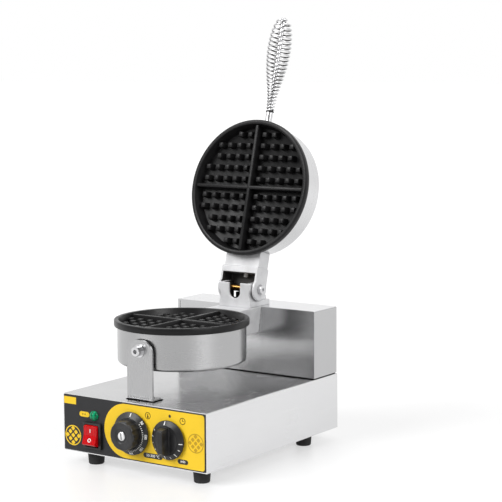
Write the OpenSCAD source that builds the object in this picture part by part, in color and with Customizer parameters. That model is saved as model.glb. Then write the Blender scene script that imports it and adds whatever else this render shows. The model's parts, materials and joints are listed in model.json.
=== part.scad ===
// Round deep-grid waffle maker on a box body: fixed lower drum, hinged upper drum,
// spring handle, two dials, a rocker switch and a lamp.
// Lengths are millimetres. Pieces are laid out on a bench frame, x = 0 at the middle,
// y = 0 at the body's front face and z = 0 at the feet's soles, and stand() then
// brings the middle of the whole footprint to the origin.
// The lid's pieces are drawn closed and turned open by lid().

/* [Body] */
// Width of the steel body, side to side
body_w = 250; // [236:1:300]
// Depth of the steel body, front to back
body_d = 330; // [318:1:400]
// Height of the steel body without its feet
body_h = 82; // [80:1:120]
// Thickness of the body's sheet steel
sheet_t = 1; // [0.8:0.1:1.6]
// Outer bend radius along the body's long top edges
bend_r = 2.2; // [1.8:0.1:4]
// Width of the in-turned flange that carries the bottom plate
flange_w = 11; // [9:0.5:16]
// Thickness of the bottom plate
bottom_t = 1.2; // [1:0.1:2]
// Length of one vent slot in the bottom plate
vent_l = 46; // [20:1:60]
// Width of one vent slot
vent_w = 4; // [3:0.5:6]
// Spacing of the vent slots
vent_pitch = 11; // [9:0.5:16]
// Number of vent slots in each bank
vent_count = 6; // [3:1:7]

/* [Feet] */
// Height of a rubber foot
foot_h = 18; // [12:1:30]
// Diameter of a foot at its top
foot_top_d = 26; // [22:1:32]
// Diameter of a foot at its sole
foot_sole_d = 22; // [18:1:28]
// Distance of the left feet from the body's left side
foot_inset_left = 42; // [26:1:50]
// Distance of the right feet from the body's right side
foot_inset_right = 23; // [23:1:50]
// Distance of the front feet from the body's front face
foot_inset_front = 20; // [20:1:40]
// Distance of the rear feet from the body's back face
foot_inset_rear = 58; // [22:1:80]

/* [Rear housing] */
// Side inset of the rear housing from the body
housing_inset = 1; // [0.5:0.5:4]
// Height of the dark seam strip under the housing
seam_h = 1.6; // [1:0.1:3]
// Border left proud round the housing's front face
housing_lip = 3; // [2:0.5:6]
// Depth of the housing's recessed front face
housing_recess = 0.5; // [0.3:0.1:0.6]
// Drop of the housing's top below the lower plate's rim
housing_drop = 1.4; // [1.2:0.1:6]

/* [Control panel] */
// Margin of steel left round the black panel sheet
panel_margin = 1.4; // [1:0.1:3]
// Thickness of the black panel sheet
panel_t = 0.8; // [0.5:0.1:1.2]
// Thickness of the yellow sheet on the panel
field_t = 0.3; // [0.2:0.1:0.6]
// Left end of the yellow sheet, from the middle
field_left = 50; // [40:1:52]
// Gap between the yellow sheet and the black panel's edge
field_margin = 1.6; // [1:0.1:4]
// Corner radius at the yellow sheet's right end
field_r = 4; // [2:0.5:8]

/* [Dials] */
// Place of the temperature dial, from the middle
temp_x = 0; // [-4:1:3]
// Height of the temperature dial above the body's underside
temp_up = 40; // [36:1:44]
// Diameter of the temperature dial's skirt
temp_skirt_d = 60; // [54:1:60]
// Diameter of the lobed temperature grip
temp_grip_d = 43; // [38:1:46]
// How far the temperature grip stands out of its skirt
temp_grip_h = 16; // [14:0.5:24]
// Place of the timer dial, from the middle
timer_x = 63.5; // [62:0.5:74]
// Height of the timer dial above the body's underside
timer_up = 39; // [34:1:44]
// Diameter of the timer dial's skirt
timer_skirt_d = 54; // [50:1:56]
// Length of the timer's bar grip
bar_l = 38; // [34:1:44]
// Width of the timer's bar grip
bar_w = 11; // [9:0.5:14]
// How far the bar grip stands out of its skirt
bar_h = 14; // [10:0.5:18]
// Thickness of both dial skirts
skirt_h = 6; // [5:0.5:9]
// Diameter of the control shafts
shaft_d = 6; // [5:0.5:8]
// Diameter of the threaded bushes round the shafts
bush_d = 10; // [9.5:0.5:12]

/* [Switch and lamp] */
// Place of the rocker switch, from the middle
switch_x = -70.5; // [-76:0.5:-68]
// Height of the switch above the body's underside
switch_up = 27; // [25:1:34]
// Width of the switch bezel
bezel_w = 32; // [31:0.5:34]
// Height of the switch bezel
bezel_h = 37; // [36.5:0.5:38]
// Thickness of the switch bezel
bezel_t = 4; // [2.5:0.5:5]
// Width of the red rocker
rocker_w = 23; // [18:1:23]
// Height of the red rocker
rocker_h = 31; // [24:1:31]
// Travel of the rocker from on to off, in degrees
rocker_travel = 20; // [14:1:24]
// How far the rocker's middle stands out of the bezel
rocker_proud = 3.2; // [2:0.2:4]
// Place of the lamp, from the middle
lamp_x = -68; // [-74:1:-64]
// Height of the lamp above the body's underside
lamp_up = 55.5; // [54.5:0.5:66]
// Diameter of the lamp lens
lamp_d = 14; // [11:0.5:15]

/* [Front bracket] */
// Distance from the body's front face to the bracket's face
bracket_y = 16; // [10:1:24]
// Width of the bracket
bracket_w = 44; // [36:1:56]
// Thickness of the bracket's steel
bracket_t = 3; // [2:0.5:4]
// Length of the bracket's foot on the body's top
bracket_foot = 17; // [15:1:20]
// Corner radius at the bracket's top
bracket_r = 18; // [10:1:18]
// Gap that the spacer fills between bracket and drum
spacer_t = 2.5; // [2:0.5:5]
// Diameter of the bracket bolt's head
bolt_head_d = 14; // [12:0.5:16]
// Height of the bracket bolt's head
bolt_head_h = 8; // [6:0.5:10]
// Diameter of the bracket bolt's shank
bolt_d = 8; // [6:0.5:8]

/* [Lower drum] */
// Clear height between the body's top and the drum
drum_lift = 41; // [30:1:60]
// Outer radius of the lower drum's shell
lower_shell_r = 91.5; // [90:0.5:94]
// Height of the lower drum's shell
lower_shell_h = 51.6; // [46:0.2:64]
// How far the lower plate's rim stands out past its shell
lower_lip = 4.5; // [4:0.1:8]
// Thickness of the drums' sheet steel
drum_t = 1.2; // [1:0.1:2]
// Corner radius at the drums' closed ends
drum_corner = 5; // [3:0.5:8]

/* [Upper drum] */
// Outer radius of the upper drum's shell
upper_shell_r = 97.8; // [96:0.1:99.5]
// Height of the upper drum's shell
upper_shell_h = 38; // [36:0.5:50]
// How far the upper plate's rim stands out past its shell
upper_lip = 4.7; // [4:0.1:7]
// Gap between the two rims when the lid is shut
shut_gap = 0.8; // [0.5:0.1:2]

/* [Waffle plates] */
// Thickness of the plates' rims
rim_t = 9.6; // [8:0.2:12]
// Width of the flat face of a rim
rim_face = 6.5; // [6:0.1:7]
// Depth of the mould below the rim
mould_depth = 17; // [16.5:0.5:20]
// Inward slope of the mould's wall
mould_draft = 3.5; // [2:0.5:4]
// Thickness of a plate below its mould
plate_floor = 8; // [6:0.5:8]
// Spacing of the square pegs
peg_pitch = 17; // [15.5:0.5:19]
// Distance from the middle to the first pegs
peg_first = 13; // [11:0.5:14]
// Width of a peg at its foot
peg_base = 9.6; // [8:0.2:10]
// Width of a peg at its top
peg_top = 7.2; // [5:0.2:7.6]
// Height of the pegs
peg_h = 11.6; // [8:0.2:11.8]
// Width of the dividing ribs at their foot
rib_base = 7.6; // [6:0.2:9]
// Width of the dividing ribs at their top
rib_top = 5; // [3:0.2:5.6]
// Height of the dividing ribs
rib_h = 15; // [12:0.5:16]

/* [Heating] */
// Radius of the heating element's ring
heater_r = 58; // [45:1:64]
// Diameter of the heating element's tube
heater_d = 8; // [6:0.5:10]
// Thickness of the plate that clamps the element
clamp_t = 2; // [1.5:0.5:3]
// Diameter of the centre bolts
centre_bolt_d = 8; // [6:0.5:10]

/* [Hinge] */
// Length of the pedestal between drum and housing
pedestal_l = 62.5; // [58:0.5:70]
// Width of the pedestal at its top
pedestal_top_w = 62; // [58:1:66]
// Width of the pedestal at its underside
pedestal_low_w = 53; // [48:1:56]
// Height of the pedestal
pedestal_h = 39; // [30:1:44]
// Wall of the pedestal casting
pedestal_wall = 6; // [5:0.5:8]
// Height of the hinge pin's axis above the housing's top
hinge_up = 26; // [24.5:0.5:28]
// Distance of the hinge pin's axis in front of the housing's face
hinge_fore = 5; // [3:0.5:8]
// Diameter of the hinge pin
pin_d = 8; // [7:0.5:9]
// How far the lid opens, in degrees
open_angle = 105; // [98:1:110]
// Width of the lower hinge casting
casting_w = 56; // [54:1:62]
// Thickness of the lower hinge casting's foot
casting_foot = 8; // [6:0.5:9]
// Distance from the pin's axis to the casting's front face
casting_fore = 20; // [19:0.5:22]
// Height of the casting's ears above the pin's axis
ear_up = 10; // [9:0.5:11]
// Thickness of the casting's ears
ear_t = 8; // [6:0.5:9]
// Width of the notch in the casting's front
notch_w = 20; // [14:1:24]
// Thickness of the casting's wall round the notch
notch_wall = 4; // [3:0.5:7]
// Thickness of the lid arm's cheeks
cheek_t = 4; // [3.5:0.5:7]
// Radius of the cheeks round the pin
cheek_r = 17; // [14:0.5:18]
// Thickness of the lid arm's back web
web_t = 5; // [4:0.5:6]
// How far the neck's face lies below the pin's axis, lid shut
neck_down = 9.5; // [8:0.5:10]
// How far the cross bar's face lies below the pin's axis, lid shut
bar_down = 13.5; // [12:0.5:14]
// Length of the cross bar along the arm
cross_bar = 10; // [8:0.5:13]

/* [Handle] */
// Height of the handle above the upper plate's back
handle_over = 5; // [5:0.5:7]
// Upward slope of the handle, in degrees
handle_slope = 0.5; // [0:0.5:2]
// Length of the rod's boss, from drum to collar
handle_stub = 22; // [14:0.5:26]
// Diameter of the rod's boss
boss_d = 11; // [10:0.5:14]
// Diameter of the handle rod
rod_d = 6.5; // [6:0.5:7]
// Thickness of the black collar
collar_t = 3; // [2:0.5:6]
// Diameter of the black collar
collar_d = 12.5; // [12:0.5:18]
// Length of the coiled grip
grip_l = 142; // [110:1:170]
// Number of turns in the coiled grip
grip_turns = 23; // [18:1:24]
// Diameter of the grip's wire
wire_d = 2.4; // [2:0.1:3]
// Radius of the coil at the collar
coil_start_r = 5.6; // [5.4:0.1:8]
// Largest radius of the coil
coil_max_r = 17.4; // [12:0.2:19]
// Radius of the coil at its tip
coil_tip_r = 6.2; // [6:0.1:9]
// Where along the grip the coil is largest
coil_peak = 0.72; // [0.6:0.01:0.8]

/* [Fits] */
// Radial clearance of a shaft in its hole
shaft_fit = 0.05; // [0.02:0.01:0.08]
// Clearance between pieces that lie against each other
seat = 0.2; // [0.1:0.05:0.3]
// Clearance between pieces that move past each other
run = 0.5; // [0.3:0.1:0.8]
// Clearance of a fixed screw in its hole
screw_fit = 0.15; // [0.1:0.05:0.3]

/* [Hidden] */
$fn = 72;
fine_fn = 288;

steel = "gainsboro";
plate_black = "dimgray";

// Heights
body_low = foot_h;
body_top = foot_h + body_h;
drum_low = body_top + drum_lift;
rim_low = drum_low + lower_shell_h;
rim_top = rim_low + rim_t;
shut_z = rim_top + shut_gap;
housing_low = body_top + seam_h;
housing_top = rim_top - housing_drop;
hinge_z = housing_top + hinge_up;
casting_top = housing_top + casting_foot;

// Places along y
drum_front = bracket_y + bracket_t + spacer_t;
drum_y = drum_front + lower_shell_r;
drum_back = drum_y + lower_shell_r;
housing_y = drum_back + pedestal_l;
housing_back = body_d - housing_inset;
housing_d = housing_back - housing_y;
hinge_y = housing_y - hinge_fore;

// Panel stack, measured outwards from the front face
panel_out = panel_t;
field_out = panel_t + field_t;
nut_t = 2.2;
skirt_back = field_out + nut_t + run;
temp_front = skirt_back + skirt_h + temp_grip_h;
cap_t = 1;
cap_d = 12;
cap_proud = 0.5;

// Moulds
plate_depth = mould_depth + plate_floor;
lower_rim_r = lower_shell_r + lower_lip;
upper_rim_r = upper_shell_r + upper_lip;
lower_mould_r = lower_rim_r - rim_face;
upper_mould_r = upper_rim_r - rim_face;
body_gap = 0.4;
lower_core_r = lower_shell_r - drum_t - body_gap;
upper_core_r = upper_shell_r - drum_t - body_gap;

// Handle, in the shut lid
stud_d = 5;
stud_nut_af = 8;
stud_nut_t = 4;
stud_in = drum_t + 2 * seat + stud_nut_t + 1.5;
tip_l = 6;
handle_z = shut_z + plate_depth + handle_over;
handle_l = handle_stub + collar_t + grip_l;
rod_root_y = drum_y - upper_shell_r;
even_pitch = 0.8;

// How far back a point of the shut lid lies once the lid is opened
function opened_y(y, z) = hinge_y + (y - hinge_y) * cos(open_angle) + (z - hinge_z) * sin(open_angle);

// How far back the opened grip reaches at a share u of its length
function grip_back(u) = let (along = handle_stub + collar_t + coil_z(u))
    opened_y(rod_root_y - along * cos(handle_slope), handle_z + along * sin(handle_slope))
    + (coil_r(u) + wire_d / 2) * sin(open_angle - handle_slope);

// Footprint, from the dial's cap to the back of the opened grip
front_reach = -temp_front - cap_proud;
rear_reach = max([for (u = [0:0.02:1]) grip_back(u)]);
middle_y = (front_reach + rear_reach) / 2;

// Screw sizes
small_screw_d = 4;
small_head_d = 7.6;
small_head_h = 2.4;
m6_d = 6;
m6_head_d = 10;
m6_head_h = 6;
socket_af = 5;

// Helpers

module stand() {
    translate([0, -middle_y, 0]) children();
}

module lid() {
    translate([0, hinge_y, hinge_z])
        rotate([-open_angle, 0, 0])
            translate([0, -hinge_y, -hinge_z]) children();
}

// Stands a flat outline up, facing the front, and runs it back from y
module standing(y, depth) {
    translate([0, y + depth, 0]) rotate([90, 0, 0]) linear_extrude(depth) children();
}

// Lays a profile drawn in y and z along x, centred
module across(width) {
    translate([-width / 2, 0, 0]) rotate([90, 0, 90]) linear_extrude(width) children();
}

// A round bar along y that starts at y
module rod_y(x, y, z, r, length) {
    translate([x, y, z]) rotate([-90, 0, 0]) cylinder(r = r, h = length);
}

// A round bar along x that starts at x
module rod_x(x, y, z, r, length) {
    translate([x, y, z]) rotate([0, 90, 0]) cylinder(r = r, h = length);
}

module rounded(size, r) {
    square([size.x - 2 * r, size.y], center = true);
    square([size.x, size.y - 2 * r], center = true);
    for (sx = [-1, 1], sy = [-1, 1])
        translate([sx * (size.x / 2 - r), sy * (size.y / 2 - r)]) circle(r = r);
}

// Section of a folded box: round top corners, square below
module folded(w, h, r) {
    translate([-w / 2, 0]) square([w, h - r]);
    translate([-w / 2 + r, 0]) square([w - 2 * r, h]);
    for (sx = [-1, 1]) translate([sx * (w / 2 - r), h - r]) circle(r = r);
}

module slot(length, width) {
    square([length - width, width], center = true);
    for (s = [-1, 1]) translate([s * (length - width) / 2, 0]) circle(d = width);
}

// Screw pointing down from z = 0 with its domed head above
module pan_screw(d, head_d, head_h, length) {
    difference() {
        union() {
            translate([0, 0, -length]) cylinder(d = d, h = length);
            rotate_extrude() intersection() {
                translate([0, head_h - head_d]) circle(r = head_d);
                square([head_d / 2, head_h]);
            }
        }
        for (a = [0, 90])
            rotate(a) translate([0, 0, head_h]) cube([head_d * 0.6, head_d * 0.16, head_h], center = true);
    }
}

// Socket-head screw pointing down from z = 0
module socket_screw(d, head_d, head_h, length, af) {
    chamfer = head_h * 0.08;
    difference() {
        rotate_extrude() polygon([
            [0, -length], [d / 2, -length], [d / 2, 0], [head_d / 2, 0],
            [head_d / 2, head_h - chamfer], [head_d / 2 - chamfer, head_h], [0, head_h]
        ]);
        translate([0, 0, head_h * 0.45]) cylinder(d = af / cos(30), h = head_h, $fn = 6);
    }
}

module hex_nut(af, hole_d, t) {
    difference() {
        cylinder(d = af / cos(30), h = t, $fn = 6);
        translate([0, 0, -1]) cylinder(d = hole_d, h = t + 2);
    }
}

// Body

module base_shell() {
    inner_w = body_w - 2 * sheet_t;
    inner_d = body_d - 2 * sheet_t;
    color(steel) stand() difference() {
        union() {
            difference() {
                translate([0, 0, body_low]) standing(0, body_d) folded(body_w, body_h, bend_r);
                translate([0, 0, body_low - sheet_t])
                    standing(sheet_t, inner_d) folded(inner_w, body_h, bend_r - sheet_t);
            }
            translate([-inner_w / 2, sheet_t, body_low + bottom_t]) difference() {
                cube([inner_w, inner_d, sheet_t]);
                translate([flange_w, flange_w, -1])
                    cube([inner_w - 2 * flange_w, inner_d - 2 * flange_w, sheet_t + 2]);
            }
        }
        rod_y(temp_x, -1, body_low + temp_up, bush_d / 2 + screw_fit, sheet_t + 2);
        rod_y(timer_x, -1, body_low + timer_up, bush_d / 2 + screw_fit, sheet_t + 2);
        switch_cut();
        rod_y(lamp_x, -1, body_low + lamp_up, lamp_hole_r, sheet_t + 2);
        rod_y(gland_x, body_d - sheet_t - 1, gland_z, gland_thread_d / 2 + screw_fit, sheet_t + 2);
        for (p = bottom_screw_places()) translate([p.x, p.y, body_low])
            cylinder(d = small_screw_d + 2 * screw_fit, h = 4 * bottom_t);
        for (x = bracket_screw_xs) translate([x, bracket_screw_y, body_top - 2 * sheet_t])
            cylinder(d = small_screw_d + 2 * screw_fit, h = 4 * sheet_t);
        translate([-lead_slot_w / 2, housing_y + lead_slot_in, body_top - 2 * sheet_t])
            cube([lead_slot_w, lead_slot_d, 4 * sheet_t]);
    }
}

lamp_hole_r = lamp_d / 2 - 1.5;
gland_x = -body_w / 3;
gland_z = body_low + body_h / 2;
gland_thread_d = 16;
bracket_screw_xs = [-bracket_w / 4, bracket_w / 4];
bracket_screw_y = bracket_y + bracket_t + bracket_foot * 0.55;
lead_slot_w = 40;
lead_slot_in = 14;
lead_slot_d = 16;

// The screws of the bottom plate: five along each side flange
function bottom_screw_places() =
    let (x = body_w / 2 - sheet_t - flange_w / 2,
         start = sheet_t + flange_w,
         pitch = (body_d - 2 * start) / 4)
    [for (s = [-1, 1], k = [0:4]) [s * x, start + k * pitch]];

module bottom_plate() {
    side = sheet_t + seat;
    color(steel) stand() difference() {
        translate([-body_w / 2 + side, side, body_low])
            cube([body_w - 2 * side, body_d - 2 * side, bottom_t]);
        for (p = concat(bottom_screw_places(), foot_places())) translate([p.x, p.y, body_low - 1])
            cylinder(d = small_screw_d + 2 * screw_fit, h = bottom_t + 2);
        for (s = [-1, 1], k = [0:vent_count - 1])
            translate([s * body_w / 5, body_d / 2 + (k - (vent_count - 1) / 2) * vent_pitch, body_low - 1])
                linear_extrude(bottom_t + 2) slot(vent_l, vent_w);
    }
}

module bottom_screws() {
    color("silver") stand() for (p = bottom_screw_places())
        translate([p.x, p.y, body_low]) rotate([180, 0, 0])
            pan_screw(small_screw_d, small_head_d, small_head_h, bottom_t + sheet_t + 4);
}

foot_left_x = -body_w / 2 + foot_inset_left;
foot_right_x = body_w / 2 - foot_inset_right;
foot_front_y = foot_inset_front;
foot_rear_y = body_d - foot_inset_rear;

function foot_places() = [
    for (x = [foot_left_x, foot_right_x], y = [foot_front_y, foot_rear_y]) [x, y]
];

foot_bore_d = 9;
foot_bore_up = foot_h * 0.6;

module foot(x, y) {
    lip = 2.4;
    color("black") stand() translate([x, y, 0]) rotate_extrude() difference() {
        polygon([
            [0, 0], [foot_sole_d / 2 - 1, 0], [foot_sole_d / 2, 1],
            [foot_top_d / 2 - 0.8, foot_h - lip], [foot_top_d / 2, foot_h - lip],
            [foot_top_d / 2, foot_h], [0, foot_h]
        ]);
        translate([0, -1]) square([foot_bore_d / 2, foot_bore_up + 1]);
        square([small_screw_d / 2 + screw_fit, foot_h + 1]);
    }
}

module foot_front_left() { foot(foot_left_x, foot_front_y); }
module foot_front_right() { foot(foot_right_x, foot_front_y); }
module foot_rear_left() { foot(foot_left_x, foot_rear_y); }
module foot_rear_right() { foot(foot_right_x, foot_rear_y); }

module foot_screws() {
    color("silver") stand() for (p = foot_places())
        translate([p.x, p.y, foot_bore_up]) rotate([180, 0, 0])
            pan_screw(small_screw_d, small_head_d, small_head_h, foot_h - foot_bore_up + bottom_t + 4);
}

// Control panel

module switch_cut() {
    translate([switch_x, 0, body_low + switch_up]) standing(-field_out - 1, sheet_t + field_out + 2)
        square([bezel_w - 2 * switch_rim, bezel_h - 2 * switch_rim], center = true);
}

module panel_sheet() {
    w = body_w - 2 * panel_margin;
    h = body_h - 2 * panel_margin;
    color([0.17, 0.17, 0.18]) stand() difference() {
        translate([0, 0, body_low + body_h / 2]) standing(-panel_t, panel_t) rounded([w, h], 1.2);
        rod_y(temp_x, -panel_t - 1, body_low + temp_up, bush_d / 2 + screw_fit, panel_t + 2);
        rod_y(timer_x, -panel_t - 1, body_low + timer_up, bush_d / 2 + screw_fit, panel_t + 2);
        switch_cut();
        rod_y(lamp_x, -panel_t - 1, body_low + lamp_up, lamp_hole_r, panel_t + 2);
    }
}

// Yellow sheet: a half-round left end, two small corners at the right
module dial_field() {
    h = body_h - 2 * panel_margin - 2 * field_margin;
    right = body_w / 2 - panel_margin - field_margin;
    end_r = h / 2;
    color([1, 0.85, 0.2]) stand() difference() {
        translate([0, 0, body_low + body_h / 2]) standing(-field_out, field_t) {
            translate([-field_left + end_r, 0]) circle(r = end_r);
            translate([-field_left + end_r, -h / 2]) square([right - field_r + field_left - end_r, h]);
            translate([right - 2 * field_r, 0]) rounded([4 * field_r, h], field_r);
        }
        rod_y(temp_x, -field_out - 1, body_low + temp_up, bush_d / 2 + screw_fit, field_t + 2);
        rod_y(timer_x, -field_out - 1, body_low + timer_up, bush_d / 2 + screw_fit, field_t + 2);
    }
}

// A control behind the panel: case, threaded bush through the wall and a bore for its shaft
module control_case(x, z, w, h, d) {
    bush_out = field_out + nut_t + 0.3;
    difference() {
        union() {
            translate([x, 0, z]) standing(sheet_t, d) rounded([w, h], 2);
            rod_y(x, -bush_out, z, bush_d / 2, bush_out + sheet_t + 1);
            for (k = [-1, 0, 1]) translate([x + k * w / 3.4, sheet_t + d, z + h / 4])
                cube([0.8, 7, 6.3], center = true);
        }
        rod_y(x, -bush_out - 1, z, shaft_d / 2 + shaft_fit, bush_out + d * 0.5 + 1);
    }
}

module bush_nut(x, z) {
    translate([x, -field_out, z]) rotate([90, 0, 0]) hex_nut(14, bush_d + 2 * screw_fit, nut_t);
}

thermostat_w = temp_grip_d - 3;
thermostat_l = 30;
timer_w = timer_skirt_d - 8;
timer_l = 36;
case_h = 44;
shaft_run = 12;
grip_bore = 9;

module thermostat_body() {
    color("lightgray") stand() control_case(temp_x, body_low + temp_up, thermostat_w, case_h, thermostat_l);
}

module timer_body() {
    color("lightgray") stand() control_case(timer_x, body_low + timer_up, timer_w, case_h, timer_l);
}

module thermostat_nut() { color("silver") stand() bush_nut(temp_x, body_low + temp_up); }
module timer_nut() { color("silver") stand() bush_nut(timer_x, body_low + timer_up); }

module control_shaft(x, z) {
    front = skirt_back + skirt_h / 2 + grip_bore - seat;
    rod_y(x, -front, z, shaft_d / 2, front + shaft_run);
}

module temp_shaft() { color("silver") stand() control_shaft(temp_x, body_low + temp_up); }
module timer_shaft() { color("silver") stand() control_shaft(timer_x, body_low + timer_up); }

// Profile of a dial skirt, spun about the shaft; the back is hollow over the nut
module skirt(d, inner_d, h) {
    edge = 1.6;
    rotate_extrude() polygon([
        [0, 0], [d / 2, 0], [d / 2, edge], [inner_d / 2, h], [inner_d / 2 - 1.4, h - 0.8], [0, h - 0.8]
    ]);
}

module grip_hole(h) {
    translate([0, 0, -1]) cylinder(d = shaft_d + 2 * shaft_fit, h = h + 1);
}

// Lobed grip: hollows bitten out of a rounded drum, its face dished round the cap
module temp_knob() {
    lobes = 9;
    bite_r = 7;
    bite_out = 0.72;
    round_r = 3.5;
    dish_r = 10.5;
    dish_t = 0.8;
    r = temp_grip_d / 2;
    h = skirt_h + temp_grip_h;
    color([0.12, 0.12, 0.13]) stand() at_dial(temp_x, body_low + temp_up) difference() {
        union() {
            skirt(temp_skirt_d, temp_grip_d + 1, skirt_h);
            difference() {
                rotate_extrude() {
                    square([r - 0.8, h - round_r]);
                    square([r - 0.8 - round_r, h]);
                    translate([r - 0.8 - round_r, h - round_r]) circle(r = round_r);
                }
                for (k = [0:lobes - 1]) rotate((k + 0.5) * 360 / lobes)
                    translate([r + bite_r * bite_out, 0, skirt_h - 0.8]) cylinder(r = bite_r, h = h);
            }
        }
        grip_hole(skirt_h / 2 + grip_bore);
        translate([0, 0, h - dish_t])
            cylinder(r1 = dish_r - dish_t, r2 = dish_r + dish_t, h = 2 * dish_t);
        translate([0, 0, h - 2 * cap_t]) cylinder(d = cap_d + 2 * seat, h = 2 * cap_t);
    }
}

// Frame of a dial: z = 0 at the skirt's back, z out along the shaft
module at_dial(x, z) {
    translate([x, -skirt_back, z]) rotate([90, 0, 0]) children();
}

module temp_cap() {
    back = -2 * cap_t + 0.05;
    color("silver") stand() translate([temp_x, -temp_front, body_low + temp_up]) rotate([90, 0, 0])
        rotate_extrude() polygon([
            [0, back], [cap_d / 2, back], [cap_d / 2, -0.3], [cap_d / 2 - 0.8, 0.3], [0, cap_proud]
        ]);
}

// Bar grip across a dished skirt; the bar's faces lean in towards its top
module timer_knob() {
    hub_d = timer_skirt_d - 17;
    h = skirt_h + bar_h;
    lean = 1.2;
    color([0.12, 0.12, 0.13]) stand() at_dial(timer_x, body_low + timer_up) difference() {
        union() {
            skirt(timer_skirt_d, hub_d + 4, skirt_h);
            intersection() {
                across(bar_w) leaning_block(bar_l / 2, h, 2 * lean, 2);
                rotate(90) across(bar_l + 2) leaning_block(bar_w / 2, h, lean, 1);
            }
        }
        grip_hole(skirt_h / 2 + grip_bore);
    }
}

// Profile of the bar: sides that lean in, and a chamfer along the top
module leaning_block(half, h, lean, chamfer) {
    polygon([
        [-half, 1], [half, 1], [half - lean, h - chamfer],
        [half - lean - chamfer, h], [-half + lean + chamfer, h], [-half + lean, h - chamfer]
    ]);
}

// Switch and lamp

rocker_axis_y = -1;
rocker_pin_d = 3;
rocker_pin_l = 1.2;
rocker_gap = 0.4;
switch_depth = 22;
switch_rim = 1.4;
rocker_lean = 2.2;
rocker_swell = 0.9;
rocker_dish = rocker_h / 2;
rocker_root_r = rocker_h / 2 - 1;

module at_switch() {
    translate([switch_x, 0, body_low + switch_up]) children();
}

module switch_housing() {
    hole_w = rocker_w + 2 * rocker_gap;
    hole_h = rocker_h + 2 * rocker_gap;
    rim = switch_rim + seat;
    pin_l = rocker_w + 2 * rocker_pin_l + 0.6;
    color([0.09, 0.09, 0.1]) stand() at_switch() difference() {
        union() {
            standing(-panel_out - bezel_t, bezel_t) rounded([bezel_w, bezel_h], 1.5);
            standing(-panel_out - 0.5, panel_out + switch_depth)
                square([bezel_w - 2 * rim, bezel_h - 2 * rim], center = true);
            for (k = [-1, 1]) translate([0, switch_depth, k * bezel_h / 5])
                cube([6.3, 12, 0.8], center = true);
        }
        standing(-panel_out - bezel_t - 1, panel_out + bezel_t + rocker_dish + 1)
            square([hole_w, hole_h], center = true);
        rod_x(-pin_l / 2, rocker_axis_y, 0, rocker_pin_d / 2 + shaft_fit, pin_l);
    }
}

// Rocker: a round-backed block with a shallow V face, pivoted on two stub pins and
// shown pushed in at the top
module switch_rocker() {
    out = panel_out + bezel_t + rocker_proud + rocker_axis_y;
    half = rocker_travel / 2;
    r = rocker_root_r;
    color("red") stand() at_switch() translate([0, rocker_axis_y, 0]) rotate([-half, 0, 0]) {
        across(rocker_w) intersection() {
            polygon([
                [-out - rocker_lean, -r], [-out, 0], [-out - rocker_lean, r],
                [0, r], [r, 0], [0, -r]
            ]);
            circle(r = r + rocker_swell);
        }
        rod_x(-rocker_w / 2 - rocker_pin_l, 0, 0, rocker_pin_d / 2, rocker_w + 2 * rocker_pin_l);
    }
}

module lamp_body() {
    color("lightgray") stand() translate([lamp_x, 0, body_low + lamp_up]) rotate([90, 0, 0]) {
        translate([0, 0, -24]) cylinder(r = lamp_hole_r - seat, h = 24 + panel_out);
        translate([0, 0, -sheet_t - 2.5]) cylinder(r = lamp_hole_r + 2.5, h = 2.5, $fn = 6);
    }
}

module lamp_lens() {
    r = lamp_d / 2;
    dome = 4.5;
    ball_r = (r * r + dome * dome) / (2 * dome);
    color("green") stand() translate([lamp_x, -panel_out, body_low + lamp_up]) rotate([90, 0, 0]) {
        cylinder(r = r, h = 1.6);
        translate([0, 0, 1.6]) intersection() {
            translate([0, 0, dome - ball_r]) sphere(r = ball_r);
            cylinder(r = r, h = dome + 1);
        }
    }
}

// Rear housing

housing_w = body_w - 2 * housing_inset;
housing_h = housing_top - housing_low;

module rear_housing() {
    inner_w = housing_w - 2 * sheet_t;
    inner_y = housing_y + sheet_t + housing_recess;
    recess_w = (housing_w - pedestal_top_w - 3 * housing_lip) / 2;
    recess_x = (housing_w + pedestal_top_w) / 4 - housing_lip / 2;
    color(steel) stand() difference() {
        translate([0, 0, housing_low]) standing(housing_y, housing_d) folded(housing_w, housing_h, bend_r);
        translate([0, 0, housing_low - sheet_t])
            standing(inner_y, housing_d) folded(inner_w, housing_h, bend_r - sheet_t);
        for (s = [-1, 1]) translate([s * recess_x - recess_w / 2, 0, housing_low - 1])
            standing(housing_y - 1, 1 + housing_recess) square([recess_w, housing_h - housing_lip + 1]);
        translate([0, 0, pedestal_low + pedestal_h / 2]) standing(housing_y - 1, 4)
            square([lead_slot_w * 0.6, pedestal_h * 0.4], center = true);
        pedestal_bolt_places() cylinder(d = m6_d + 2 * screw_fit, h = 8, center = true);
        for (x = [-casting_screw_x, casting_screw_x])
            translate([x, casting_rear_screw_y, housing_top - 2 * sheet_t])
                cylinder(d = m6_d + 2 * screw_fit, h = 4 * sheet_t);
        translate([0, casting_lead_y, housing_top - 2 * sheet_t]) cylinder(d = lead_hole_d, h = 4 * sheet_t);
    }
}

// Dark strip that closes the seam under the housing
module housing_seam() {
    inset = 1.6;
    wall = 4;
    w = housing_w - 2 * inset;
    d = housing_d - 2 * inset;
    color("black") stand() translate([0, housing_y + inset + d / 2, body_top])
        linear_extrude(seam_h) difference() {
            square([w, d], center = true);
            square([w - 2 * wall, d - 2 * wall], center = true);
        }
}

cover_t = 1;
cover_in = 0.6;
cover_flap = 9;

function cover_screw_places() = [
    for (s = [-1, 1], z = [housing_low + 12, housing_top - 12]) [s * (housing_w / 2 - 14), z]
];

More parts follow.
